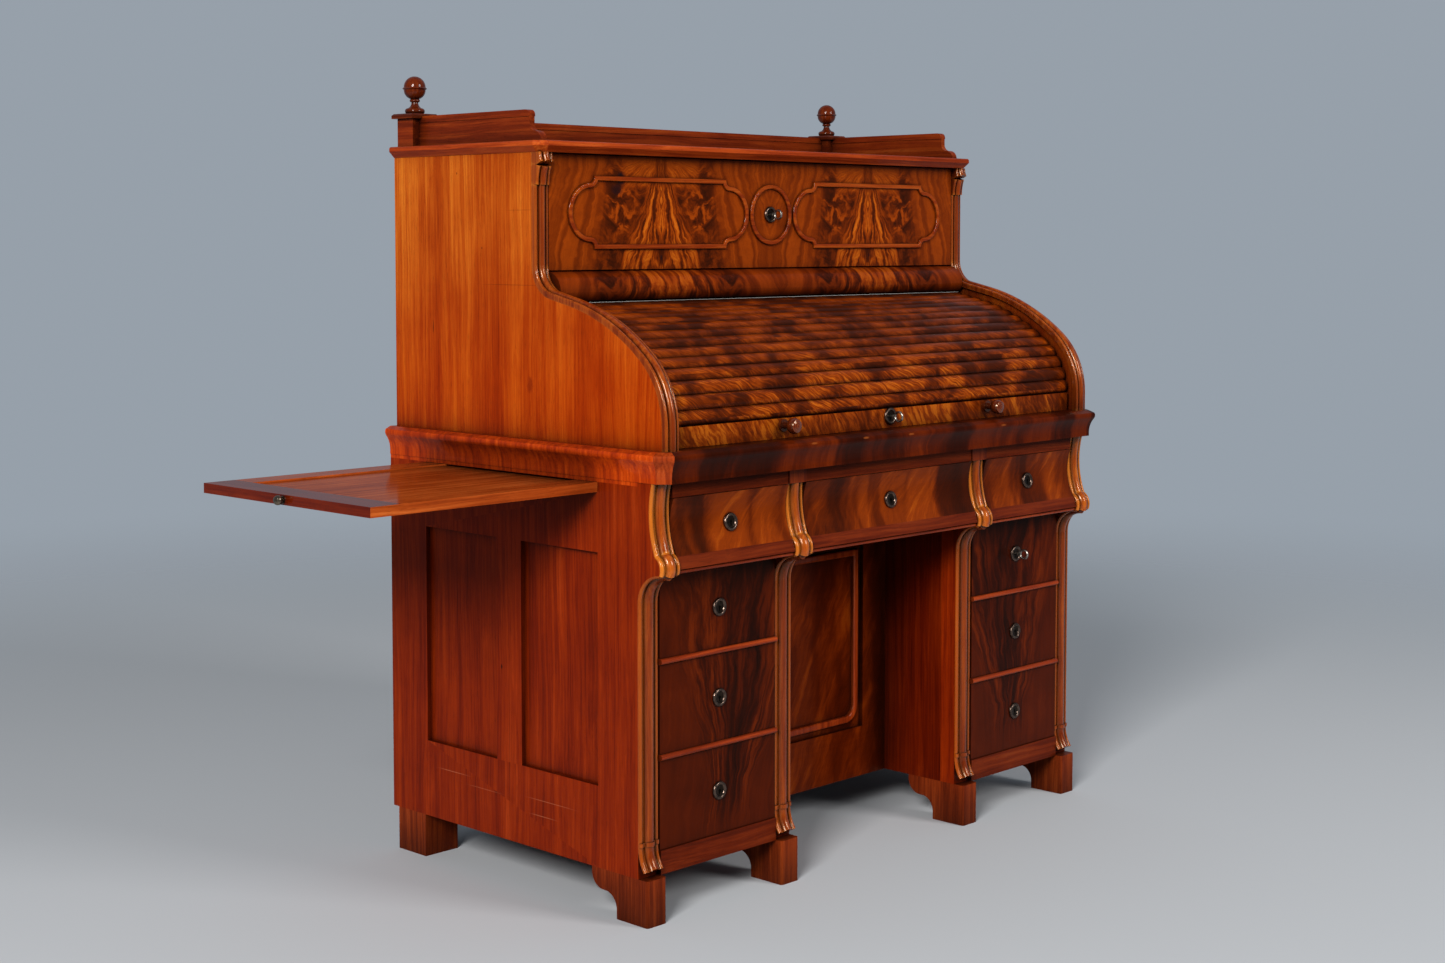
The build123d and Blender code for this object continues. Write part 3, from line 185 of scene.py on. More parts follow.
def polish(material, colour, grain, roughness, specular, coat, depth, groove=0.10, shade_power=1.5):
    """Amber polish over wood, with a sheen that follows the grain and painted shade in corners and grooves.

    groove is how far away other faces must be for a place to go unshaded, and the shade's power how
    quickly that painted shade deepens toward near black.
    """
    tree = material.node_tree
    # Painted shade: the colour goes toward near black where other faces are close by, found by ambient
    # occlusion.
    open_air = add_node(tree, "ShaderNodeAmbientOcclusion", {"Distance": groove}, samples=4).outputs["AO"]
    colour = tint(tree, calc(tree, "POWER", open_air, shade_power), PAINTED_SHADE, colour)
    sheen = {"Value": grain, "To Min": roughness + SHEEN_SWING, "To Max": roughness - SHEEN_SWING}
    shine = add_node(tree, "ShaderNodeMapRange", sheen).outputs["Result"]
    ridges = {"Height": grain, "Strength": depth, "Distance": GRAIN_HEIGHT}
    relief = add_node(tree, "ShaderNodeBump", ridges).outputs["Normal"]
    shader = tree.nodes["Principled BSDF"]
    tree.links.new(colour, shader.inputs["Base Color"])
    tree.links.new(shine, shader.inputs["Roughness"])
    tree.links.new(relief, shader.inputs["Normal"])
    shader.inputs["Specular IOR Level"].default_value = specular
    shader.inputs["Specular Tint"].default_value = AMBER
    shader.inputs["Coat Weight"].default_value = coat
    shader.inputs["Coat Roughness"].default_value = COAT_ROUGHNESS
    shader.inputs["Coat IOR"].default_value = COAT_INDEX
    return material


def scaled(stops, red, rest):
    """The same tones with their red, and their green and blue, made weaker or stronger."""
    return [(place, (colour[0] * red, colour[1] * rest, colour[2] * rest)) for place, colour in stops]


GRAIN_TURN = {"Z": (0, 0, 0), "Y": (math.pi / 2, 0, 0), "X": (0, math.pi / 2, 0)}
PORE_BROWN = (0.020, 0.004, 0.001, 1.0)
GRAIN_DRAW = 0.3
RIDGE_WIDTH = 0.007


def straight_mahogany(
    name,
    along,
    stops,
    seed=0.0,
    ribbon=0.5,
    roughness=0.36,
    specular=0.05,
    coat=0.04,
    fade=None,
    marks=(),
    shade_power=1.5,
    wear=None,
):
    """Straight-grained mahogany: broad bands, ribbons, streaks, fibres and short dark pores along one axis.

    ribbon is how much of the figure lies in broad bands, the rest being in narrower ribbons. fade is (low,
    high, colour): the wood keeps its own colour above high and is multiplied by colour below low. wear is
    the colour that thin ridges and crests are lightened to, partly as wear and partly as a painted highlight.
    """
    material, tree, place = new_material(name)
    turned = mapped(tree, place, Location=(seed, seed * 1.7, seed * 0.6), Rotation=GRAIN_TURN[along])
    drawn = mapped(tree, turned, Scale=(1, 1, GRAIN_DRAW))
    bent = bend(tree, bend(tree, drawn, 4.0, (0.045, 0.045, 0.0)), 15.0, (0.010, 0.010, 0.0))

    def stretched(across, length):
        """Coordinates in which a figure comes so many times to a metre across the grain and along it."""
        return mapped(tree, bent, Scale=(across, across, length / GRAIN_DRAW))

    bands = spread(tree, noise(tree, stretched(17, 0.6), 1.0, 3.0), 0.32, 0.68)
    ribbons = spread(tree, noise(tree, stretched(75, 1.6), 1.0, 3.0), 0.32, 0.68)
    streaks = spread(tree, noise(tree, stretched(230, 4.5), 1.0, 4.0, 0.6), 0.3, 0.7)
    fibres = noise(tree, stretched(850, 16), 1.0, 2.0)
    clouds = noise(tree, turned, 7.0, 3.0)
    tone = weigh(
        tree,
        0.5,
        (bands, 0.42 * ribbon),
        (ribbons, 0.42 * (1 - ribbon)),
        (streaks, 0.24),
        (fibres, 0.24),
        (clouds, 0.45),
    )
    pores = spread(tree, noise(tree, stretched(1500, 45), 1.0, 1.0), 0.6, 0.72)
    wood = tint(tree, calc(tree, "MULTIPLY", pores, 0.45), tones(tree, tone, stops), PORE_BROWN)
    if fade:
        height = axes_of(tree, place)["Z"]
        inputs = {0: spread(tree, height, fade[1], fade[0]), 6: wood, 7: (*fade[2], 1.0)}
        wood = add_node(tree, "ShaderNodeMix", inputs, data_type="RGBA", blend_type="MULTIPLY").outputs[2]
    # Partly wear, partly painted highlight: thin ridges and crests are lightened toward the wear colour.
    if wear:
        thin = add_node(tree, "ShaderNodeAmbientOcclusion", {"Distance": RIDGE_WIDTH}, samples=6, inside=True)
        crest_wear_and_highlight = calc(tree, "MULTIPLY", spread(tree, thin.outputs["AO"], 0.60, 0.20), 0.55)
        wood = tint(tree, crest_wear_and_highlight, wood, (*wear, 1.0))
    wood = blemishes(tree, place, wood, marks)
    return polish(material, wood, fibres, roughness, specular, coat, depth=0.10, shade_power=shade_power)


def dress(node, *materials, pick=None):
    """Gives a CAD node its materials; pick chooses one for each face from the face's middle and normal."""
    mesh = nodes[node].data
    mesh.materials.clear()
    for material in materials:
        mesh.materials.append(material)
    for face in mesh.polygons:
        face.material_index = pick(face.center, face.normal) if pick else 0


foot_tones = [
    (0.15, (0.055, 0.006, 0.002)),
    (0.45, (0.150, 0.017, 0.003)),
    (0.70, (0.270, 0.038, 0.006)),
    (0.92, (0.380, 0.075, 0.014)),
]
foot_low, foot_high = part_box("feet")
dust = (0.40, 0.26, 0.16)
foot_marks = [
    ((case_middle - 0.42, foot_low.y, foot_high.z - 0.0004), (0.10, 0.02, 0.0012), dust, 0.5),
    ((case_middle + 0.44, foot_low.y, foot_high.z - 0.0004), (0.09, 0.02, 0.0012), dust, 0.5),
]
foot_wood = straight_mahogany("foot_mahogany", "Z", foot_tones, seed=3.1, roughness=0.5, marks=foot_marks)
dress("feet", foot_wood)

# Side frames, panels and posts: one dark red-brown veneer with upright grain on rails and stiles alike, laid
# in two leaves that meet on the muntin. Thin panels are set back in the frames, and the lower rails carry a
# few pale scratches.
case_tones = [
    (0.12, (0.080, 0.005, 0.001)),
    (0.40, (0.155, 0.010, 0.001)),
    (0.65, (0.235, 0.019, 0.001)),
    (0.90, (0.340, 0.038, 0.004)),
]
side_low, side_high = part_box("side_panels")
frame_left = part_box("side_frames")[0].x
leaf_joint = (side_low.y + side_high.y) / 2
scratch = (0.52, 0.16, 0.07)
side_marks = [
    ((frame_left, leaf_joint + 0.16, 0.176), (0.01, 0.055, 0.0009), scratch, 0.45),
    ((frame_left, leaf_joint + 0.07, 0.160), (0.01, 0.060, 0.0007), scratch, 0.35),
    ((frame_left, leaf_joint - 0.11, 0.168), (0.01, 0.080, 0.0008), scratch, 0.40),
    ((frame_left, leaf_joint - 0.09, 0.140), (0.01, 0.045, 0.0008), scratch, 0.45),
    ((frame_left, leaf_joint, 0.28), (0.03, 0.0010, 0.26), (0.03, 0.003, 0.001), 0.55),
    ((frame_left, leaf_joint + 0.020, 0.392), (0.02, 0.003, 0.006), (0.012, 0.003, 0.002), 0.9),
]
back_leaf = straight_mahogany("case_mahogany_back", "Z", case_tones, seed=1.3, marks=side_marks)
front_leaf = straight_mahogany("case_mahogany_front", "Z", case_tones, seed=5.2, marks=side_marks)


def front_half(middle, normal):
    return int(middle.y < leaf_joint)


dress("side_frames", back_leaf, front_leaf, pick=front_half)
panel_back = straight_mahogany("panel_mahogany_back", "Z", case_tones, seed=8.4, ribbon=0.6)
panel_front = straight_mahogany("panel_mahogany_front", "Z", case_tones, seed=2.7, ribbon=0.3)
dress("side_panels", panel_back, panel_front, pick=front_half)
dress("posts", front_leaf)

# Reeded strips, corbels and edges: mouldings stuck in straight mahogany, polished until the reeds shine.
# Their crests are lightened to gold, partly as wear and partly as a painted highlight, and the grooves of the
# strips and corbels take a deeper painted shade. A plain upright block sits on each inner corbel.
reed_tones = [
    (0.12, (0.130, 0.013, 0.001)),
    (0.40, (0.300, 0.038, 0.002)),
    (0.65, (0.480, 0.090, 0.006)),
    (0.90, (0.620, 0.170, 0.020)),
]
reed_finish = {"ribbon": 0.3, "roughness": 0.26, "specular": 0.4}
strip_wood = straight_mahogany(
    "strip_mahogany",
    "Z",
    scaled(reed_tones, 0.55, 0.45),
    seed=2.4,
    coat=0.25,
    shade_power=2.2,
    wear=(0.42, 0.080, 0.003),
    **reed_finish,
)
corbel_wood = straight_mahogany(
    "corbel_mahogany",
    "Z",
    scaled(reed_tones, 0.90, 0.95),
    seed=6.8,
    coat=0.3,
    shade_power=2.2,
    wear=(0.72, 0.21, 0.015),
    **reed_finish,
)
block_tones = [
    (0.15, (0.090, 0.009, 0.002)),
    (0.45, (0.200, 0.021, 0.003)),
    (0.72, (0.320, 0.042, 0.006)),
    (0.92, (0.430, 0.080, 0.014)),
]
block_wood = straight_mahogany(
    "block_mahogany", "Z", scaled(block_tones, 0.75, 0.75), seed=4.1, ribbon=0.3, coat=0.2
)
block_bottom = 0.7252
block_reach = 0.300


def corbel_block(middle, normal):
    return int(middle.z > block_bottom and abs(middle.x - case_middle) < block_reach)


dress("post_reeds", strip_wood)
edge_wood = straight_mahogany(
    "edge_mahogany",
    "Z",
    scaled(reed_tones, 0.62, 0.55),
    seed=9.2,
    coat=0.25,
    wear=(0.62, 0.17, 0.012),
    **reed_finish,
)
dress("reeded_edges", edge_wood)
dress("corbels", corbel_wood, block_wood, pick=corbel_block)

# Carcass inside: runners, partitions, slide bearers, cabinet boards, pigeonholes and the roll's end ribs, in
# plain pale boards that were butted, glued and only waxed. The pedestals' inner walls face the kneehole, so
# they and their floors have mahogany, its tones darkened as painted shade of the kneehole.
lining_tones = [
    (0.15, (0.150, 0.058, 0.020)),
    (0.45, (0.280, 0.125, 0.045)),
    (0.70, (0.380, 0.195, 0.080)),
    (0.92, (0.470, 0.270, 0.125)),
]
lining = {
    along: straight_mahogany(
        "lining_along_" + along.lower(), along, lining_tones, seed=seed, roughness=0.6, coat=0.0
    )
    for along, seed in (("X", 4.4), ("Y", 6.1), ("Z", 7.7))
}
for node in ("drawer_runners", "frieze_partitions"):
    dress(node, lining["Y"])
for node in ("slide_bearers", "cabinet_boards"):
    dress(node, lining["X"])
for node in ("pigeonholes", "roll_ribs"):
    dress(node, lining["Z"])
# Painted shade: the case's tones darkened for the walls inside the kneehole.
shaded_wall_tones = scaled(case_tones, 0.55, 0.50)
dress("pedestal_boards", straight_mahogany("shaded_wall_mahogany", "Z", shaded_wall_tones, seed=14.2, ribbon=0.3))

# Back: frames with thin plain panels, below between the side frames and above between the upper sides, in
# cheaper wood that was stained to go with the case and left dull. The grain runs along each member.
back_tones = [
    (0.15, (0.090, 0.020, 0.006)),
    (0.45, (0.180, 0.050, 0.014)),
    (0.70, (0.260, 0.085, 0.027)),
    (0.92, (0.340, 0.130, 0.048)),
]
back_upright = straight_mahogany("back_wood_upright", "Z", back_tones, seed=6.6, roughness=0.6, coat=0.0)
back_level = straight_mahogany("back_wood_level", "X", back_tones, seed=9.9, roughness=0.6, coat=0.0)
panel_low, panel_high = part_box("back_panels")
middle_rails_low = 0.70
middle_rails_high = 0.86


def back_rail(middle, normal):
    outer_rail = middle.z < panel_low.z or middle.z > panel_high.z
    return int(outer_rail or middle_rails_low < middle.z < middle_rails_high)


dress("back_panels", back_upright)
dress("back_frame", back_upright, back_level, pick=back_rail)

# Kneehole back: a framed panel of quiet mottled veneer between the pedestals, its tones darkened as painted
# shade of the pedestals. A moulding with round lower corners is planted on it, in the red-brown mahogany of
# the drawer rails.
veneer_finish = {"roughness": 0.32, "specular": 0.05, "coat": 0.04}


def mottled_veneer(
    name,
    stops,
    seed,
    rise,
    slant,
    patch,
    flame,
    base=0.42,
    dark=0.34,
    lit=0.34,
    slats=None,
    glow=None,
    marks=(),
    groove=0.10,
    shade_power=1.5,
):
    """Mottled veneer: short slanting flames on a ground that darkens in soft upright patches.

    rise makes the height on the sheet from the place's axes; slant leans the flames; patch and flame are
    how many patches and flames there are to a metre, along and up the sheet, and flame ends with how sparse
    they are; dark is how deep a patch is and lit how bright a flame. slats is the pitch of a sheet that was
    cut into slats and laid again; glow is (low, high), the heights between which the flames die away.
    """
    material, tree, place = new_material(name)
    axes = axes_of(tree, place)
    risen = rise(tree, axes)
    leaf = seed
    if slats:
        slat = calc(tree, "FLOOR", calc(tree, "DIVIDE", risen, slats))
        leaf = calc(tree, "MULTIPLY_ADD", slat, 0.35, seed)
    sheet = vector_of(tree, axes["X"], risen, seed)
    swept = bend(tree, bend(tree, sheet, 7.0, (0.05, 0.05, 0.0)), 30.0, (0.016, 0.016, 0.0))
    swept_axes = axes_of(tree, swept)
    along = swept_axes["X"]
    up = swept_axes["Y"]
    leaning = calc(tree, "MULTIPLY_ADD", up, slant, along)

    def drawn(value, value_scale, up_scale, layer):
        first = calc(tree, "MULTIPLY", value, value_scale)
        return vector_of(tree, first, calc(tree, "MULTIPLY", up, up_scale), calc(tree, "ADD", leaf, layer))

    along_flame, up_flame, sparse = flame
    licks = noise(tree, drawn(leaning, along_flame, up_flame, 0.0), 1.0, 5.0, 0.64, 0.4)
    flames = spread(tree, licks, sparse, sparse + 0.32)
    patches = spread(tree, noise(tree, drawn(along, *patch, 3.0), 1.0, 3.0, 0.55, 0.2), 0.34, 0.62)
    fibres = noise(tree, drawn(leaning, 420.0, 40.0, 7.0), 1.0, 2.0)
    ripple = noise(tree, drawn(up, 160.0, 5.0, 11.0), 1.0, 2.0)
    if glow:
        low_down = calc(tree, "MULTIPLY_ADD", spread(tree, risen, glow[1], glow[0]), 0.6, 0.4)
        flames = calc(tree, "MULTIPLY", flames, low_down)
    ground = weigh(tree, base, (patches, dark), (fibres, 0.22), (ripple, 0.08))
    shining = calc(tree, "MULTIPLY", flames, calc(tree, "MULTIPLY_ADD", patches, lit * 0.7, lit * 0.3))
    wood = tones(tree, calc(tree, "ADD", ground, shining), stops)
    wood = blemishes(tree, place, wood, marks)
    return polish(material, wood, fibres, **veneer_finish, depth=0.05, groove=groove, shade_power=shade_power)


def upright(tree, axes):
    """The sheet stands upright: its height is the height above the floor."""
    return axes["Z"]


flame_tones = [
    (0.05, (0.022, 0.0040, 0.0010)),
    (0.28, (0.070, 0.0090, 0.0010)),
    (0.48, (0.165, 0.0210, 0.0010)),
    (0.70, (0.330, 0.0490, 0.0020)),
    (0.95, (0.540, 0.1180, 0.0060)),
]
# Painted shade: the flame tones darkened for the kneehole.
shaded_knee_tones = scaled(flame_tones, 0.48, 0.36)
knee_veneer = mottled_veneer(
    "kneehole_veneer_shaded",
    shaded_knee_tones,
    seed=2.2,
    rise=upright,
    slant=-0.5,
    patch=(14.0, 3.0),
    flame=(34.0, 6.0, 0.40),
    base=0.44,
    dark=0.24,
    lit=0.3,
)
dress("kneehole_back", knee_veneer)
bead_tones = scaled(block_tones, 1.15, 1.15)
bead_wood = {
    along: straight_mahogany(
        "bead_mahogany_" + along.lower(), along, bead_tones, seed=seed, ribbon=0.3, coat=0.25
    )
    for along, seed in (("X", 9.3), ("Z", 4.1))
}
dress("kneehole_moulding", bead_wood["Z"])

# Rails between the drawers, the frieze deck and the frieze rails: red-brown mahogany, worked to a half round
# on the edge, with the grain along the desk. The rails under the lowest drawers are flat and darker.
base_tones = scaled(block_tones, 0.50, 0.45)
base_rail = straight_mahogany("base_rail_mahogany", "X", base_tones, seed=11.1, ribbon=0.3)
base_top = 0.1215
dress("drawer_rails", bead_wood["X"], base_rail, pick=lambda middle, normal: int(middle.z < base_top))
dress("frieze_deck", bead_wood["X"])
frieze_rail_tones = scaled(block_tones, 0.65, 0.62)
frieze_rail = straight_mahogany("frieze_rail_mahogany", "X", frieze_rail_tones, seed=5.4, ribbon=0.3)
dress("frieze_rails", frieze_rail)

# Top frame, waist moulding and writing board: the table of the desk. The moulding is planted round the front
# and the sides of the frame, with mottled veneer in front, straight veneer at the sides and short upright
# pieces on its canted corners. The front is chipped to the bare wood in a few places.
waist_low, waist_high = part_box("waist_moulding")
bare_wood = (0.30, 0.070, 0.012)
waist_marks = [
    ((case_middle + place, waist_low.y, height), (0.011, 0.008, 0.0026), bare_wood, 0.6)
    for place, height in ((-0.261, 0.7973), (-0.120, 0.7976), (0.009, 0.7957), (0.294, 0.7943))
]
waist_flame = mottled_veneer(
    "waist_flame",
    scaled(flame_tones, 0.46, 0.34),
    seed=6.5,
    rise=upright,
    slant=0.15,
    patch=(14.0, 1.5),
    flame=(50.0, 5.0, 0.50),
    base=0.36,
    dark=0.36,
    lit=0.22,
    marks=waist_marks,
)
waist_side = straight_mahogany(
    "waist_mahogany", "Z", scaled(case_tones, 2.1, 2.6), seed=2.9, ribbon=0.3, roughness=0.3, coat=0.10
)
waist_corner = straight_mahogany("waist_corner", "Z", bead_tones, seed=7.9, ribbon=0.3, coat=0.15)
corner_width = 0.030
flame_depth = 0.09
FACING = 0.8


def waist_part(middle, normal):
    at_end = abs(middle.x - case_middle) > waist_high.x - case_middle - corner_width
    if at_end and middle.y < waist_low.y + corner_width:
        return 2
    if normal.y > FACING:
        return 3
    return int(middle.y < waist_low.y + flame_depth)


for node in ("top_frame", "waist_moulding"):
    dress(node, waist_side, waist_flame, waist_corner, back_level, pick=waist_part)
dress("writing_board", bead_wood["X"])

# Upper sides: wide boards of straight mahogany that stand on the top frame, bleached to a warm orange, with
# hairline cracks where the boards have moved and a few old dents.
upper_tones = [
    (0.10, (0.240, 0.024, 0.001)),
    (0.38, (0.370, 0.049, 0.002)),
    (0.62, (0.500, 0.096, 0.006)),
    (0.90, (0.660, 0.175, 0.014)),
]
upper_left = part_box("upper_sides")[0].x
crack = (0.06, 0.008, 0.002)
upper_marks = [
    ((upper_left, 0.035, 1.075), (0.02, 0.110, 0.0010), crack, 0.45),
    ((upper_left, 0.010, 1.207), (0.02, 0.060, 0.0008), crack, 0.4),
    ((upper_left, 0.262, 0.995), (0.02, 0.0016, 0.017), crack, 0.9),
    ((upper_left, 0.120, 1.140), (0.02, 0.0018, 0.003), crack, 0.8),
    ((upper_left, 0.190, 1.275), (0.02, 0.0018, 0.003), crack, 0.8),
    ((upper_left, -0.010, 0.90), (0.02, 0.010, 0.020), (0.20, 0.016, 0.001), 0.7),
]
upper_fade = (0.85, 1.25, (0.86, 0.55, 0.25))
upper_wood = straight_mahogany(
    "upper_mahogany", "Z", upper_tones, seed=11.5, ribbon=0.5, fade=upper_fade, marks=upper_marks
)
dress("upper_sides", upper_wood)

# Cornice, gallery and finials: dark red mahogany with the grain along each board. The gallery's banded boards
# stand on the cornice, with posts and cap plates at the back, and a turned finial sits on each plate.
top_tones = [
    (0.12, (0.090, 0.008, 0.002)),
    (0.42, (0.205, 0.019, 0.003)),
    (0.66, (0.330, 0.039, 0.005)),
    (0.90, (0.460, 0.085, 0.013)),
]


def front_and_end(name, stops):
    """Wood for boards along the desk, and the same wood turned for boards at its ends."""
    return [
        straight_mahogany(name + "_" + along.lower(), along, stops, seed=seed, ribbon=0.35, coat=0.08)
        for along, seed in (("X", 3.6), ("Y", 4.9))
    ]


end_inside = 0.545


def end_board(middle, normal):
    return int(abs(middle.x - case_middle) > end_inside)


gallery_woods = front_and_end("top_mahogany", scaled(top_tones, 0.85, 0.95))
cornice_woods = front_and_end("cornice_mahogany", scaled(top_tones, 1.25, 1.45))
dress("cornice", *cornice_woods, pick=end_board)
plate_wood = straight_mahogany("plate_mahogany", "Y", scaled(top_tones, 0.45, 0.6), seed=8.8, coat=0.15)
finial_low, finial_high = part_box("finials")
finial_inset = 0.020
finial_place = (finial_high.x - finial_low.x) / 2 - finial_inset
finial_depth = (finial_low.y + finial_high.y) / 2
plate_reach = 0.034
plate_bottom = 1.3803


def gallery_part(middle, normal):
    by_finial = abs(abs(middle.x - case_middle) - finial_place) < plate_reach
    if by_finial and middle.z > plate_bottom and abs(middle.y - finial_depth) < plate_reach:
        return 2
    return end_board(middle, normal)


dress("gallery", *gallery_woods, plate_wood, pick=gallery_part)
finial_wood = straight_mahogany("finial_mahogany", "Z", scaled(top_tones, 0.45, 0.55), seed=7.2, coat=0.35)
dress("finials", finial_wood)


# Cushion rail: a round bolster glued on the front of the cabinet floor, between the flap and the roll. It is
# veneered with the same opened leaves of crotch as the flap, in darker tones.
def crotch_veneer(name, stops, seed, spines, apex, fan, marks=()):
    """Crotch veneer opened like a book: rays that fan out under an apex, dark wings, plain wood outside.

    spines fold the leaf: the first is a place along the desk, each next one a distance from the last fold.
    fan is how far the figure spreads to each side for each length that it falls. The wings hold petals
    beside the apex and lumps further out; their places are distances to the side and down from the apex.
    """
    material, tree, place = new_material(name)
    axes = axes_of(tree, place)
    across = axes["X"]
    for spine in spines:
        across = calc(tree, "ABSOLUTE", calc(tree, "SUBTRACT", across, spine))
    leaf = vector_of(tree, across, seed, axes["Z"])
    bent = bend(tree, bend(tree, leaf, 9.0, (0.040, 0.0, 0.040)), 40.0, (0.018, 0.0, 0.018))
    bent_axes = axes_of(tree, bent)
    side = bent_axes["X"]
    height = calc(tree, "MAXIMUM", calc(tree, "SUBTRACT", apex, bent_axes["Z"]), 0.0)
    share = calc(tree, "DIVIDE", side, calc(tree, "MULTIPLY_ADD", height, fan, 0.006))

    def drawn(first, first_scale, second, second_scale, layer):
        one = calc(tree, "MULTIPLY", first, first_scale)
        return vector_of(tree, one, calc(tree, "MULTIPLY", second, second_scale), seed + layer)

    def within(value, low, high, soft):
        rising = spread(tree, value, low - soft, low + soft)
        return calc(tree, "MULTIPLY", rising, spread(tree, value, high + soft, high - soft))

    rays = spread(tree, noise(tree, drawn(share, 6.0, height, 14.0, 0.0), 1.0, 6.0, 0.66, 0.5), 0.32, 0.68)
    fine_rays = noise(tree, drawn(share, 42.0, height, 20.0, 2.0), 1.0, 3.0)
    cloud = noise(tree, drawn(side, 30.0, height, 34.0, 5.0), 1.0, 5.0, 0.64, 0.8)
    whorls = noise(tree, drawn(cloud, 70.0, side, 8.0, 7.0), 1.0, 2.0)
    edge = calc(tree, "MULTIPLY_ADD", height, -0.25, side)
    plain = spread(tree, noise(tree, drawn(edge, 70.0, height, 1.6, 9.0), 1.0, 4.0, 0.6), 0.3, 0.7)
    lumps = spread(tree, cloud, 0.50, 0.62)
    fan_tone = weigh(tree, 0.54, (rays, 0.78), (fine_rays, 0.34))
    wing_tone = weigh(tree, 0.32, (whorls, 0.36), (spread(tree, cloud, 0.34, 0.66), 0.46))
    lump_tone = weigh(tree, 0.66, (whorls, 0.34))
    lumpy = calc(tree, "MULTIPLY", within(side, 0.070, 0.14, 0.01), within(height, 0.030, 0.13, 0.01))
    wing_tone = blend(tree, calc(tree, "MULTIPLY", lumpy, lumps), wing_tone, lump_tone)
    petals = calc(tree, "MULTIPLY", spread(tree, height, 0.062, 0.044), spread(tree, side, 0.11, 0.08))
    wing_tone = blend(tree, petals, wing_tone, weigh(tree, 0.60, (whorls, 0.36), (rays, 0.4)))
    plain_tone = weigh(tree, 0.54, (plain, 0.24), (fine_rays, 0.10), (cloud, 0.2))
    tone = blend(tree, spread(tree, edge, 0.095, 0.150), wing_tone, plain_tone)
    tone = blend(tree, spread(tree, share, 1.35, 0.80), tone, fan_tone)
    wood = blemishes(tree, place, tones(tree, tone, stops), marks)
    return polish(material, wood, fine_rays, **veneer_finish, depth=0.04)


leaf_spines = [case_middle, 0.296]
leaf_apex = 1.306
leaf_fan = 0.46
cushion_tones = scaled(flame_tones, 0.75, 0.65)
cushion_flame = crotch_veneer("cushion_flame", cushion_tones, 9.7, leaf_spines, leaf_apex, leaf_fan)
dress("cushion_rail", cushion_flame)

# Roll: slats cut from one veneered sheet, so the figure runs on from slat to slat, above a lock rail with two
# turned knobs. End ribs behind them turn on pins. The gaps between the slats take a deep painted shade, and a
# pale band is painted along the last slat's top, where it shows under the cushion.
roll_pivot = next(joint for joint in frame["record"]["behaviour"]["joints"] if joint["name"] == "roll_turn")
pivot_y, pivot_z = roll_pivot["pos_m"][1:]
roll_radius = 0.278


def round_roll(tree, axes):
    """The sheet bends over the roll: its height is the length of arc from the pivot's level."""
    front = calc(tree, "MULTIPLY_ADD", axes["Y"], -1.0, pivot_y)
    turn = calc(tree, "ARCTAN2", calc(tree, "SUBTRACT", axes["Z"], pivot_z), front)
    return calc(tree, "MULTIPLY", turn, roll_radius)


slat_pitch = 0.0216
tail_arc = 0.4725
tail_turn = tail_arc / roll_radius
tail_place = (
    case_middle,
    pivot_y - roll_radius * math.cos(tail_turn),
    pivot_z + roll_radius * math.sin(tail_turn),
)
roll_marks = [(tail_place, (0.62, 0.012, 0.0022), (0.50, 0.36, 0.22), 0.85)]
roll_tones = scaled(flame_tones, 0.86, 0.86)
roll_flame = mottled_veneer(
    "roll_flame",
    roll_tones,
    seed=8.8,
    rise=round_roll,
    slant=1.6,
    patch=(12.0, 9.0),
    flame=(150.0, 34.0, 0.38),
    base=0.33,
    dark=0.34,
    lit=0.56,
    slats=slat_pitch,
    glow=(0.10, 0.26),
    marks=roll_marks,
    # Deep painted shade in the gaps between the slats.
    groove=0.02,
    shade_power=4.0,
)
rail_flame = mottled_veneer(
    "lock_rail_flame",
    flame_tones,
    seed=5.5,
    rise=upright,
    slant=0.6,
    patch=(12.0, 4.0),
    flame=(110.0, 30.0, 0.36),
    base=0.42,
    dark=0.26,
    lit=0.62,
)
# A pale band painted along the last slat's top, where it shows under the cushion.
pale_tail_band = straight_mahogany(
    "pale_slat_band",
    "X",
    [(0.2, (0.54, 0.51, 0.46)), (0.5, (0.66, 0.63, 0.59)), (0.8, (0.75, 0.73, 0.69))],
    seed=1.9,
    roughness=0.7,
    coat=0.0,
    shade_power=0.0,
)
roll_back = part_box("roll_slats")[1].y
tail_width = 0.0205
level_facing = 0.96


def tail_edge(middle, normal):
    return int(middle.y > roll_back - tail_width and normal.z > level_facing)


dress("roll_slats", roll_flame, pale_tail_band, pick=tail_edge)
dress("roll_lock_rail", rail_flame)


def turned_wood(name, stops, axis_x, axis_z):
    """Wood turned on a pair of axes that run front to back, with rings cut round them."""
    material, tree, place = new_material(name)
    axes = axes_of(tree, place)
    across = calc(tree, "ABSOLUTE", calc(tree, "SUBTRACT", axes["X"], case_middle))
    side = calc(tree, "SUBTRACT", across, axis_x)
    up = calc(tree, "SUBTRACT", axes["Z"], axis_z)
    far = calc(tree, "SQRT", calc(tree, "MULTIPLY_ADD", side, side, calc(tree, "MULTIPLY", up, up)))
    rings = noise(tree, vector_of(tree, calc(tree, "MULTIPLY", far, 520.0), 0.0, 0.0), 1.0, 1.0)
    fibres = noise(tree, place, 300.0, 3.0)
    tone = weigh(tree, 0.45, (spread(tree, rings, 0.35, 0.65), 0.5), (fibres, 0.3))
    wood = tones(tree, tone, stops)
    return polish(material, wood, rings, roughness=0.22, specular=0.5, coat=0.5, depth=0.4)


knob_low, knob_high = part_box("roll_knobs")
knob_radius = (knob_high.z - knob_low.z) / 2
knob_axis = (knob_high.x - knob_low.x) / 2 - knob_radius
knob_tones = scaled(top_tones, 0.50, 0.60)
dress("roll_knobs", turned_wood("knob_mahogany", knob_tones, knob_axis, knob_low.z + knob_radius))

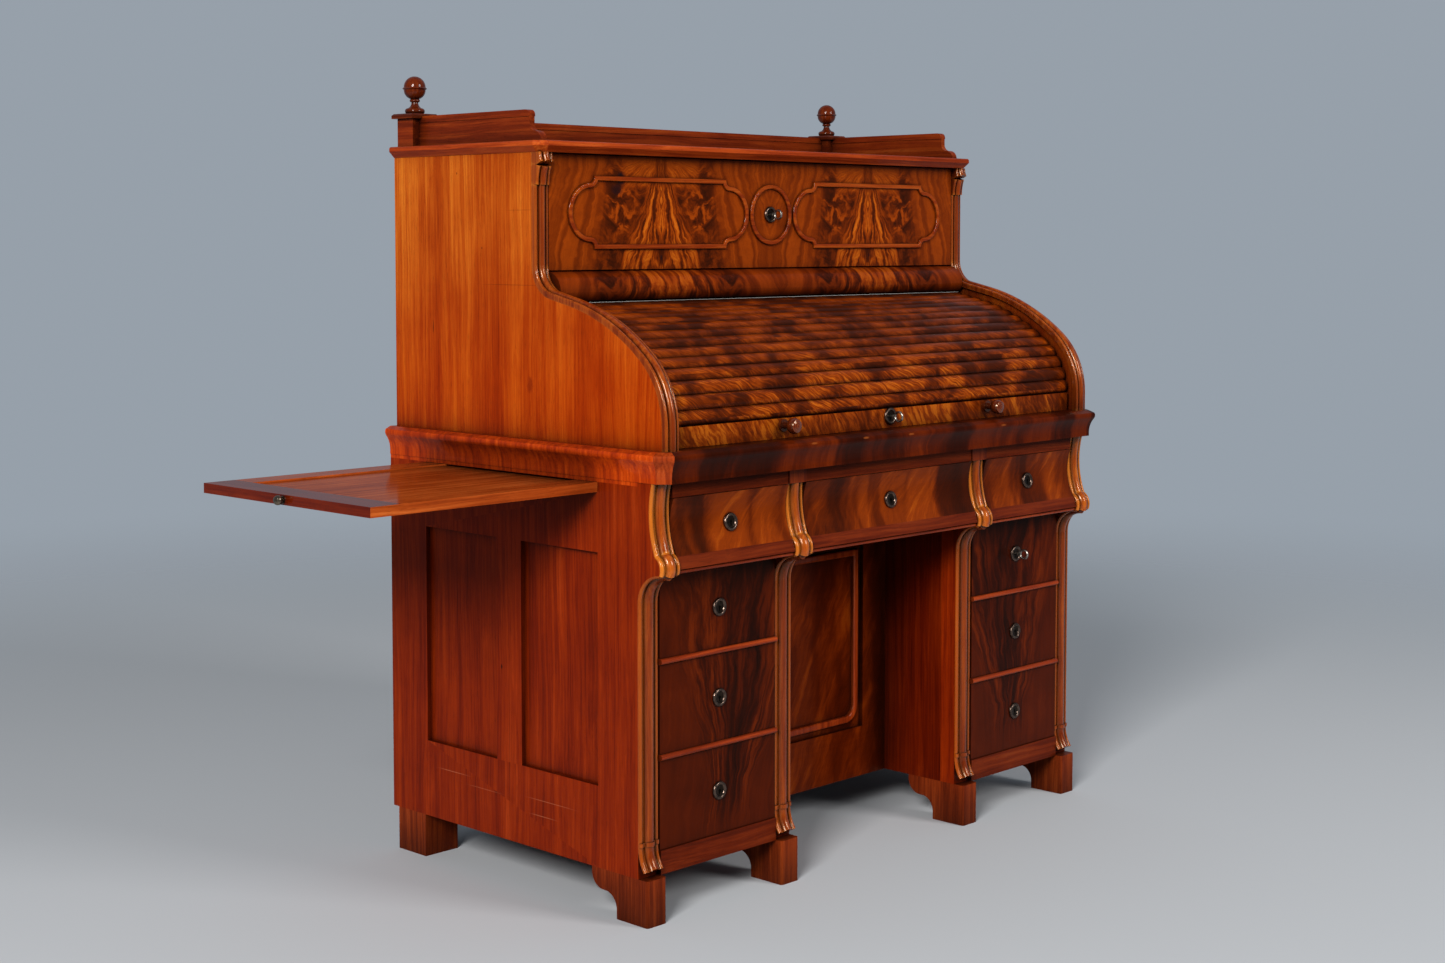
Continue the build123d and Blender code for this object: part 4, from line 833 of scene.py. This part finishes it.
# Flap: a panel hung on two pins at its lower corners and veneered with two opened leaves of crotch, with ink
# spilt on it. Two cartouches and a ring, run in straight mahogany, are planted on it.
flap_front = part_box("flap_panel")[0].y
ink = (0.010, 0.004, 0.006)
flap_marks = [
    ((case_middle - 0.398, flap_front, 1.266), (0.014, 0.02, 0.016), ink, 0.95),
    ((case_middle - 0.408, flap_front, 1.246), (0.020, 0.02, 0.014), ink, 0.6),
    ((case_middle - 0.296, flap_front, 1.122), (0.003, 0.02, 0.007), ink, 0.9),
    ((case_middle + 0.300, flap_front, 1.124), (0.003, 0.02, 0.005), ink, 0.9),
]
flap_flame = crotch_veneer(
    "flap_flame", flame_tones, 4.1, leaf_spines, leaf_apex, leaf_fan, marks=flap_marks
)
dress("flap_panel", flap_flame)
moulding_wood = straight_mahogany(
    "moulding_mahogany", "X", scaled(reed_tones, 0.72, 0.62), seed=12.2, ribbon=0.3, roughness=0.3, coat=0.25
)
dress("flap_mouldings", moulding_wood)

# Side slides: framed boards with a sunk panel, which run on bearers under the waist. The clamp at the outer
# end is dark, with its grain across. Every face that looks to the front, such as the front edge and the sunk
# panel's lip, is paler than the rails: a painted highlight, with no painted shade.
slide_tones = [
    (0.12, (0.120, 0.014, 0.002)),
    (0.40, (0.230, 0.034, 0.004)),
    (0.65, (0.340, 0.065, 0.010)),
    (0.90, (0.460, 0.115, 0.024)),
]
clamp_tones = scaled(case_tones, 0.55, 0.55)
slide_rail = straight_mahogany("slide_rail_mahogany", "X", slide_tones, seed=5.9, specular=0.0, coat=0.4)
slide_panel = straight_mahogany(
    "slide_panel_mahogany", "X", slide_tones, seed=13.3, ribbon=0.3, specular=0.0, coat=0.25
)
slide_clamp = straight_mahogany("slide_clamp_mahogany", "Y", clamp_tones, seed=3.3, specular=0.0, coat=0.5)
# Painted highlight: paler tones for the faces that look to the front.
front_highlight_tones = scaled(slide_tones, 1.35, 1.35)
slide_front_highlight = straight_mahogany("slide_front_highlight_mahogany", "X", front_highlight_tones, seed=8.1, shade_power=0.0)
clamp_width = 0.058
rail_width = 0.054
for node in ("left_slide", "right_slide"):
    slide_low, slide_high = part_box(node)
    outer_end = slide_low.x if node == "left_slide" else slide_high.x

    def slide_part(middle, normal):
        # Faces that look to the front take the painted highlight.
        if normal.y < -FACING:
            return 3
        if abs(middle.x - outer_end) < clamp_width:
            return 2
        return int(slide_low.y + rail_width < middle.y < slide_high.y - rail_width)

    dress(node, slide_rail, slide_panel, slide_clamp, slide_front_highlight, pick=slide_part)


# Slide knobs, pivot pins and keys: small metal pieces. The knobs, one on each slide's outer end, and the pins
# are turned in bronze that has gone dark; the three keys are of steel, and their stems stand in their holes.
TARNISH = 0.35


def worn_metal(name, colour, roughness):
    """Metal dulled by handling, darker and rougher in patches."""
    material, tree, place = new_material(name)
    patches = noise(tree, place, 160.0, 4.0)
    dark = tuple(channel * TARNISH for channel in colour)
    shader = tree.nodes["Principled BSDF"]
    tree.links.new(tones(tree, patches, [(0.35, dark), (0.62, colour)]), shader.inputs["Base Color"])
    wear = {"Value": patches, "To Min": roughness + 0.15, "To Max": roughness - 0.1}
    shine = add_node(tree, "ShaderNodeMapRange", wear).outputs["Result"]
    tree.links.new(shine, shader.inputs["Roughness"])
    shader.inputs["Metallic"].default_value = 1.0
    return material


bronze = worn_metal("dark_bronze", (0.22, 0.17, 0.12), roughness=0.3)
steel = worn_metal("key_steel", (0.46, 0.42, 0.36), roughness=0.3)
for node in ("left_slide_knob", "right_slide_knob", "pivot_pins"):
    dress(node, bronze)
for node in ("roll_key", "flap_key", "drawer_key"):
    dress(node, steel)


# Drawers: veneered fronts on plain butted boxes. Each pedestal's fronts are cut from one leaf, so its figure
# runs down through all three; the frieze fronts have mottled veneer bent into their hollow, over a flat band.
def plume_veneer(name, stops, seed, spine, apex, fan, lean):
    """Feather veneer: dark plumes that rise from an apex, bright rays along them, plain wood outside.

    fan is how far the plumes spread to each side, and lean how far they drift, for each length that they
    rise.
    """
    material, tree, place = new_material(name)
    bent = bend(tree, bend(tree, place, 8.0, (0.05, 0.0, 0.05)), 34.0, (0.014, 0.0, 0.014))
    axes = axes_of(tree, bent)
    climb = calc(tree, "SUBTRACT", axes["Z"], apex)
    offset = calc(tree, "MULTIPLY_ADD", climb, -lean, calc(tree, "SUBTRACT", axes["X"], spine))
    layer = calc(tree, "MULTIPLY_ADD", calc(tree, "GREATER_THAN", offset, 0.0), 4.0, seed)
    side = calc(tree, "ABSOLUTE", offset)
    height = calc(tree, "MAXIMUM", climb, 0.0)
    share = calc(tree, "DIVIDE", side, calc(tree, "MULTIPLY_ADD", height, fan, 0.035))

    def drawn(first, first_scale, second_scale):
        one = calc(tree, "MULTIPLY", first, first_scale)
        return vector_of(tree, one, calc(tree, "MULTIPLY", axes["Z"], second_scale), layer)

    rays = spread(tree, noise(tree, drawn(share, 6.0, 8.0), 1.0, 5.0, 0.62, 0.4), 0.3, 0.7)
    fine_rays = noise(tree, drawn(share, 42.0, 18.0), 1.0, 3.0)
    streaks = noise(tree, drawn(side, 110.0, 3.0), 1.0, 4.0, 0.6)
    clouds = noise(tree, place, 9.0, 3.0)
    heart_tone = weigh(tree, 0.26, (rays, 0.40), (fine_rays, 0.18))
    ray_tone = weigh(tree, 0.46, (rays, 0.52), (fine_rays, 0.22))
    plain_tone = weigh(tree, 0.44, (streaks, 0.26), (clouds, 0.34))
    figure = blend(tree, spread(tree, share, 0.20, 1.00), heart_tone, ray_tone)
    plain = calc(tree, "MAXIMUM", spread(tree, share, 0.8, 1.9), spread(tree, climb, 0.02, -0.10))
    wood = tones(tree, blend(tree, plain, figure, plain_tone), stops)
    return polish(material, wood, fine_rays, **veneer_finish, depth=0.04)


# The pedestal fronts are dark: partly their own figure, partly painted shade under the waist's overhang.
drawer_tones_with_shade = scaled(flame_tones, 0.40, 0.30)
plume_fan = 0.28
left_plume = plume_veneer(
    "left_pedestal_plume", drawer_tones_with_shade, 1.4, case_middle - 0.402, apex=0.20, fan=plume_fan, lean=0.14
)
right_plume = plume_veneer(
    "right_pedestal_plume", drawer_tones_with_shade, 7.3, case_middle + 0.408, apex=0.21, fan=plume_fan, lean=-0.05
)
pedestal_veneers = {"left": left_plume, "right": right_plume}
frieze_veneer = mottled_veneer(
    "frieze_veneer",
    scaled(flame_tones, 0.74, 0.68),
    seed=3.7,
    rise=upright,
    slant=-0.8,
    patch=(10.0, 1.5),
    flame=(30.0, 6.0, 0.46),
    base=0.37,
    dark=0.50,
    lit=0.32,
)
band_tones = scaled(block_tones, 0.5, 0.45)
frieze_band = straight_mahogany("frieze_band_mahogany", "X", band_tones, seed=15.5, ribbon=0.3, coat=0.2)
band_top = 0.6275


def frieze_part(middle, normal):
    return int(middle.z < band_top)


drawers = [name[: -len("_front")] for name in nodes if name.endswith("_drawer_front")]
for drawer in sorted(drawers):
    if drawer.startswith("frieze"):
        dress(drawer + "_front", frieze_veneer, frieze_band, pick=frieze_part)
    else:
        dress(drawer + "_front", pedestal_veneers[drawer.split("_")[0]])
    dress(drawer + "_box", lining["Y"])

# Escutcheons: turned discs of blackened brass with a raised rim and a keyhole, pinned on every drawer, on
# the lock rail and on the flap. The keyhole stops at a shallow floor painted near black, a painted shadow.
blackened = worn_metal("blackened_brass", (0.040, 0.026, 0.018), roughness=0.3)
# A painted shadow for the keyhole's floor.
keyhole_painted_shadow = worn_metal("keyhole_painted_shadow", (0.006, 0.005, 0.004), roughness=0.6)
rim_brass = worn_metal("rim_brass", (0.15, 0.100, 0.076), roughness=0.27)
rim_inside = 0.0098
disc_profile = [
    (0.0160, -0.0010),
    (0.0160, 0.0018),
    (0.0155, 0.0030),
    (0.0145, 0.0039),
    (0.0130, 0.0043),
    (0.0115, 0.0039),
    (0.0105, 0.0030),
    (0.0098, 0.0018),
    (0.0080, 0.0015),
]
disc_sides = 48
keyhole_floor = 0.0006
keyhole_reach = 0.02
keyhole_radius = 0.0030
slot_width = 0.0026
slot_length = 0.0070
round_edge = math.radians(50)
hair = 0.0001
turns = [2 * math.pi * side / disc_sides for side in range(disc_sides)]
disc_points = [(r * math.cos(turn), -rise, r * math.sin(turn)) for r, rise in disc_profile for turn in turns]
disc_back = tuple(reversed(range(disc_sides)))
disc_front = tuple(range(len(disc_points) - disc_sides, len(disc_points)))
disc_faces = [disc_back, disc_front]
for ring in range(len(disc_profile) - 1):
    for side in range(disc_sides):
        here = ring * disc_sides
        after = (side + 1) % disc_sides
        disc_faces.append((here + side, here + after, here + disc_sides + after, here + disc_sides + side))
disc_mesh = bpy.data.meshes.new("escutcheon")
disc_mesh.from_pydata(disc_points, [], disc_faces)
pattern = bpy.data.objects.new("escutcheon", disc_mesh)
bpy.context.collection.objects.link(pattern)
cutter_y = -keyhole_floor - keyhole_reach / 2
cutters = []
bpy.ops.mesh.primitive_cylinder_add(
    vertices=24,
    radius=keyhole_radius,
    depth=keyhole_reach,
    location=(0, cutter_y, 0),
    rotation=(math.pi / 2, 0, 0),
)
cutters.append(bpy.context.object)
bpy.ops.mesh.primitive_cube_add(size=1.0, location=(0, cutter_y, -slot_length / 2))
cutters.append(bpy.context.object)
cutters[-1].scale = (slot_width, keyhole_reach, slot_length)
bpy.ops.object.select_all(action="DESELECT")
for cutter in cutters:
    cut = pattern.modifiers.new("keyhole", "BOOLEAN")
    cut.operation = "DIFFERENCE"
    cut.solver = "EXACT"
    cut.object = cutter
pattern.select_set(True)
bpy.context.view_layer.objects.active = pattern
for modifier in [modifier.name for modifier in pattern.modifiers]:
    bpy.ops.object.modifier_apply(modifier=modifier)
bpy.ops.object.shade_smooth_by_angle(angle=round_edge)
for cutter in cutters:
    bpy.data.objects.remove(cutter)
for metal in (blackened, rim_brass, keyhole_painted_shadow):
    pattern.data.materials.append(metal)
for face in pattern.data.polygons:
    face.material_index = int(math.hypot(face.center.x, face.center.z) > rim_inside)
    # The keyhole's floor takes the painted shadow.
    if face.normal.y < -0.5 and abs(face.center.y + keyhole_floor) < hair:
        face.material_index = 2


def escutcheon(body, x, y, z, tilt=0.0):
    """A copy of the disc with its back on a front, riding with that front."""
    disc = pattern.copy()
    disc.data = pattern.data.copy()
    disc.name = body + "_escutcheon"
    bpy.context.collection.objects.link(disc)
    disc.data.transform(Matrix.Translation((x, y, z)) @ Matrix.Rotation(tilt, 4, "X"))
    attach(disc, body)


hollow_depth = 0.0230
bedding = 0.0009
frieze_plate_height = 0.671
frieze_plate_tilt = math.radians(-7.2)
for drawer in sorted(drawers):
    low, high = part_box(drawer + "_front")
    in_frieze = drawer.startswith("frieze")
    face_y = low.y + hollow_depth - bedding if in_frieze else low.y
    height = frieze_plate_height if in_frieze else (low.z + high.z) / 2
    escutcheon(drawer, (low.x + high.x) / 2, face_y, height, frieze_plate_tilt if in_frieze else 0.0)
for key, body, face in (("roll_key", "roll", "roll_lock_rail"), ("flap_key", "flap", "flap_panel")):
    low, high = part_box(key)
    escutcheon(body, (low.x + high.x) / 2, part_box(face)[0].y, (low.z + high.z) / 2)
bpy.data.objects.remove(pattern)

# Floor and light: a plain pale floor that fades out, one broad soft light from the left, a weaker one in
# front and a pale surround that is dimmer in front of the desk than behind it.
floor_width = 40.0
floor_clear_from = 1.6
floor_gone_at = 5.5
bpy.ops.mesh.primitive_plane_add(size=floor_width, location=(0, 0, 0))
floor = bpy.context.object
floor.name = "studio_floor"
floor_paint, tree, place = new_material("floor_paint")
paint = tree.nodes["Principled BSDF"]
paint.inputs["Base Color"].default_value = (0.50, 0.51, 0.52, 1)
paint.inputs["Roughness"].default_value = 0.9
paint.inputs["Specular IOR Level"].default_value = 0.1
far = add_node(tree, "ShaderNodeVectorMath", {0: place}, operation="LENGTH").outputs["Value"]
clear = add_node(tree, "ShaderNodeBsdfTransparent", {}).outputs["BSDF"]
faded = {0: spread(tree, far, floor_clear_from, floor_gone_at), 1: paint.outputs["BSDF"], 2: clear}
fade = add_node(tree, "ShaderNodeMixShader", faded).outputs["Shader"]
tree.links.new(fade, tree.nodes["Material Output"].inputs["Surface"])
floor.data.materials.append(floor_paint)


def soft_light(name, place, aim, width, power):
    """A square area light at a place, turned to face a point."""
    lamp = bpy.data.lights.new(name, "AREA")
    lamp.size = width
    lamp.energy = power
    light = bpy.data.objects.new(name, lamp)
    light.location = place
    direction = [to - at for to, at in zip(aim, place)]
    reach = math.hypot(direction[0], direction[1])
    light.rotation_euler = (
        math.atan2(reach, -direction[2]),
        0,
        math.atan2(-direction[0], direction[1]),
    )
    bpy.context.scene.collection.objects.link(light)


desk_middle = (case_middle, 0.0, 0.8)
soft_light("key_light", (-6.5, -3.4, 4.2), desk_middle, width=2.4, power=720)
soft_light("front_light", (2.0, -6.0, 3.6), desk_middle, width=2.0, power=230)
past_the_desk = (0.69, 0.71, 0.0)
dim_front = 0.16
bright_behind = 0.42
world = bpy.data.worlds.new("pale_surround")
bpy.context.scene.world = world
world.use_nodes = True
tree = world.node_tree
toward = add_node(tree, "ShaderNodeTexCoord", {}).outputs["Generated"]
behind = add_node(tree, "ShaderNodeVectorMath", {0: toward, 1: past_the_desk}, operation="DOT_PRODUCT")
strength = blend(tree, spread(tree, behind.outputs["Value"], -0.2, 0.6), dim_front, bright_behind)
surround = tree.nodes["Background"]
surround.inputs["Color"].default_value = (0.735, 0.838, 0.957, 1)
tree.links.new(strength, surround.inputs["Strength"])
bpy.context.scene.view_settings.view_transform = "Standard"

# Camera: a little over a metre high and about three and a half metres from the desk's near corner, in front
# and to the left, looking slightly down, as in the photograph.
look_down = 3.5
look_right = 45.912
camera_data = bpy.data.cameras.new("camera")
camera = bpy.data.objects.new("camera", camera_data)
bpy.context.scene.collection.objects.link(camera)
bpy.context.scene.camera = camera
camera.location = (-2.7766, -2.8138, 1.1551)
camera.rotation_euler = (math.radians(90 - look_down), 0, math.radians(-look_right))
camera_data.sensor_width = 36.0
camera_data.lens = 52.21
camera_data.shift_y = -0.0787
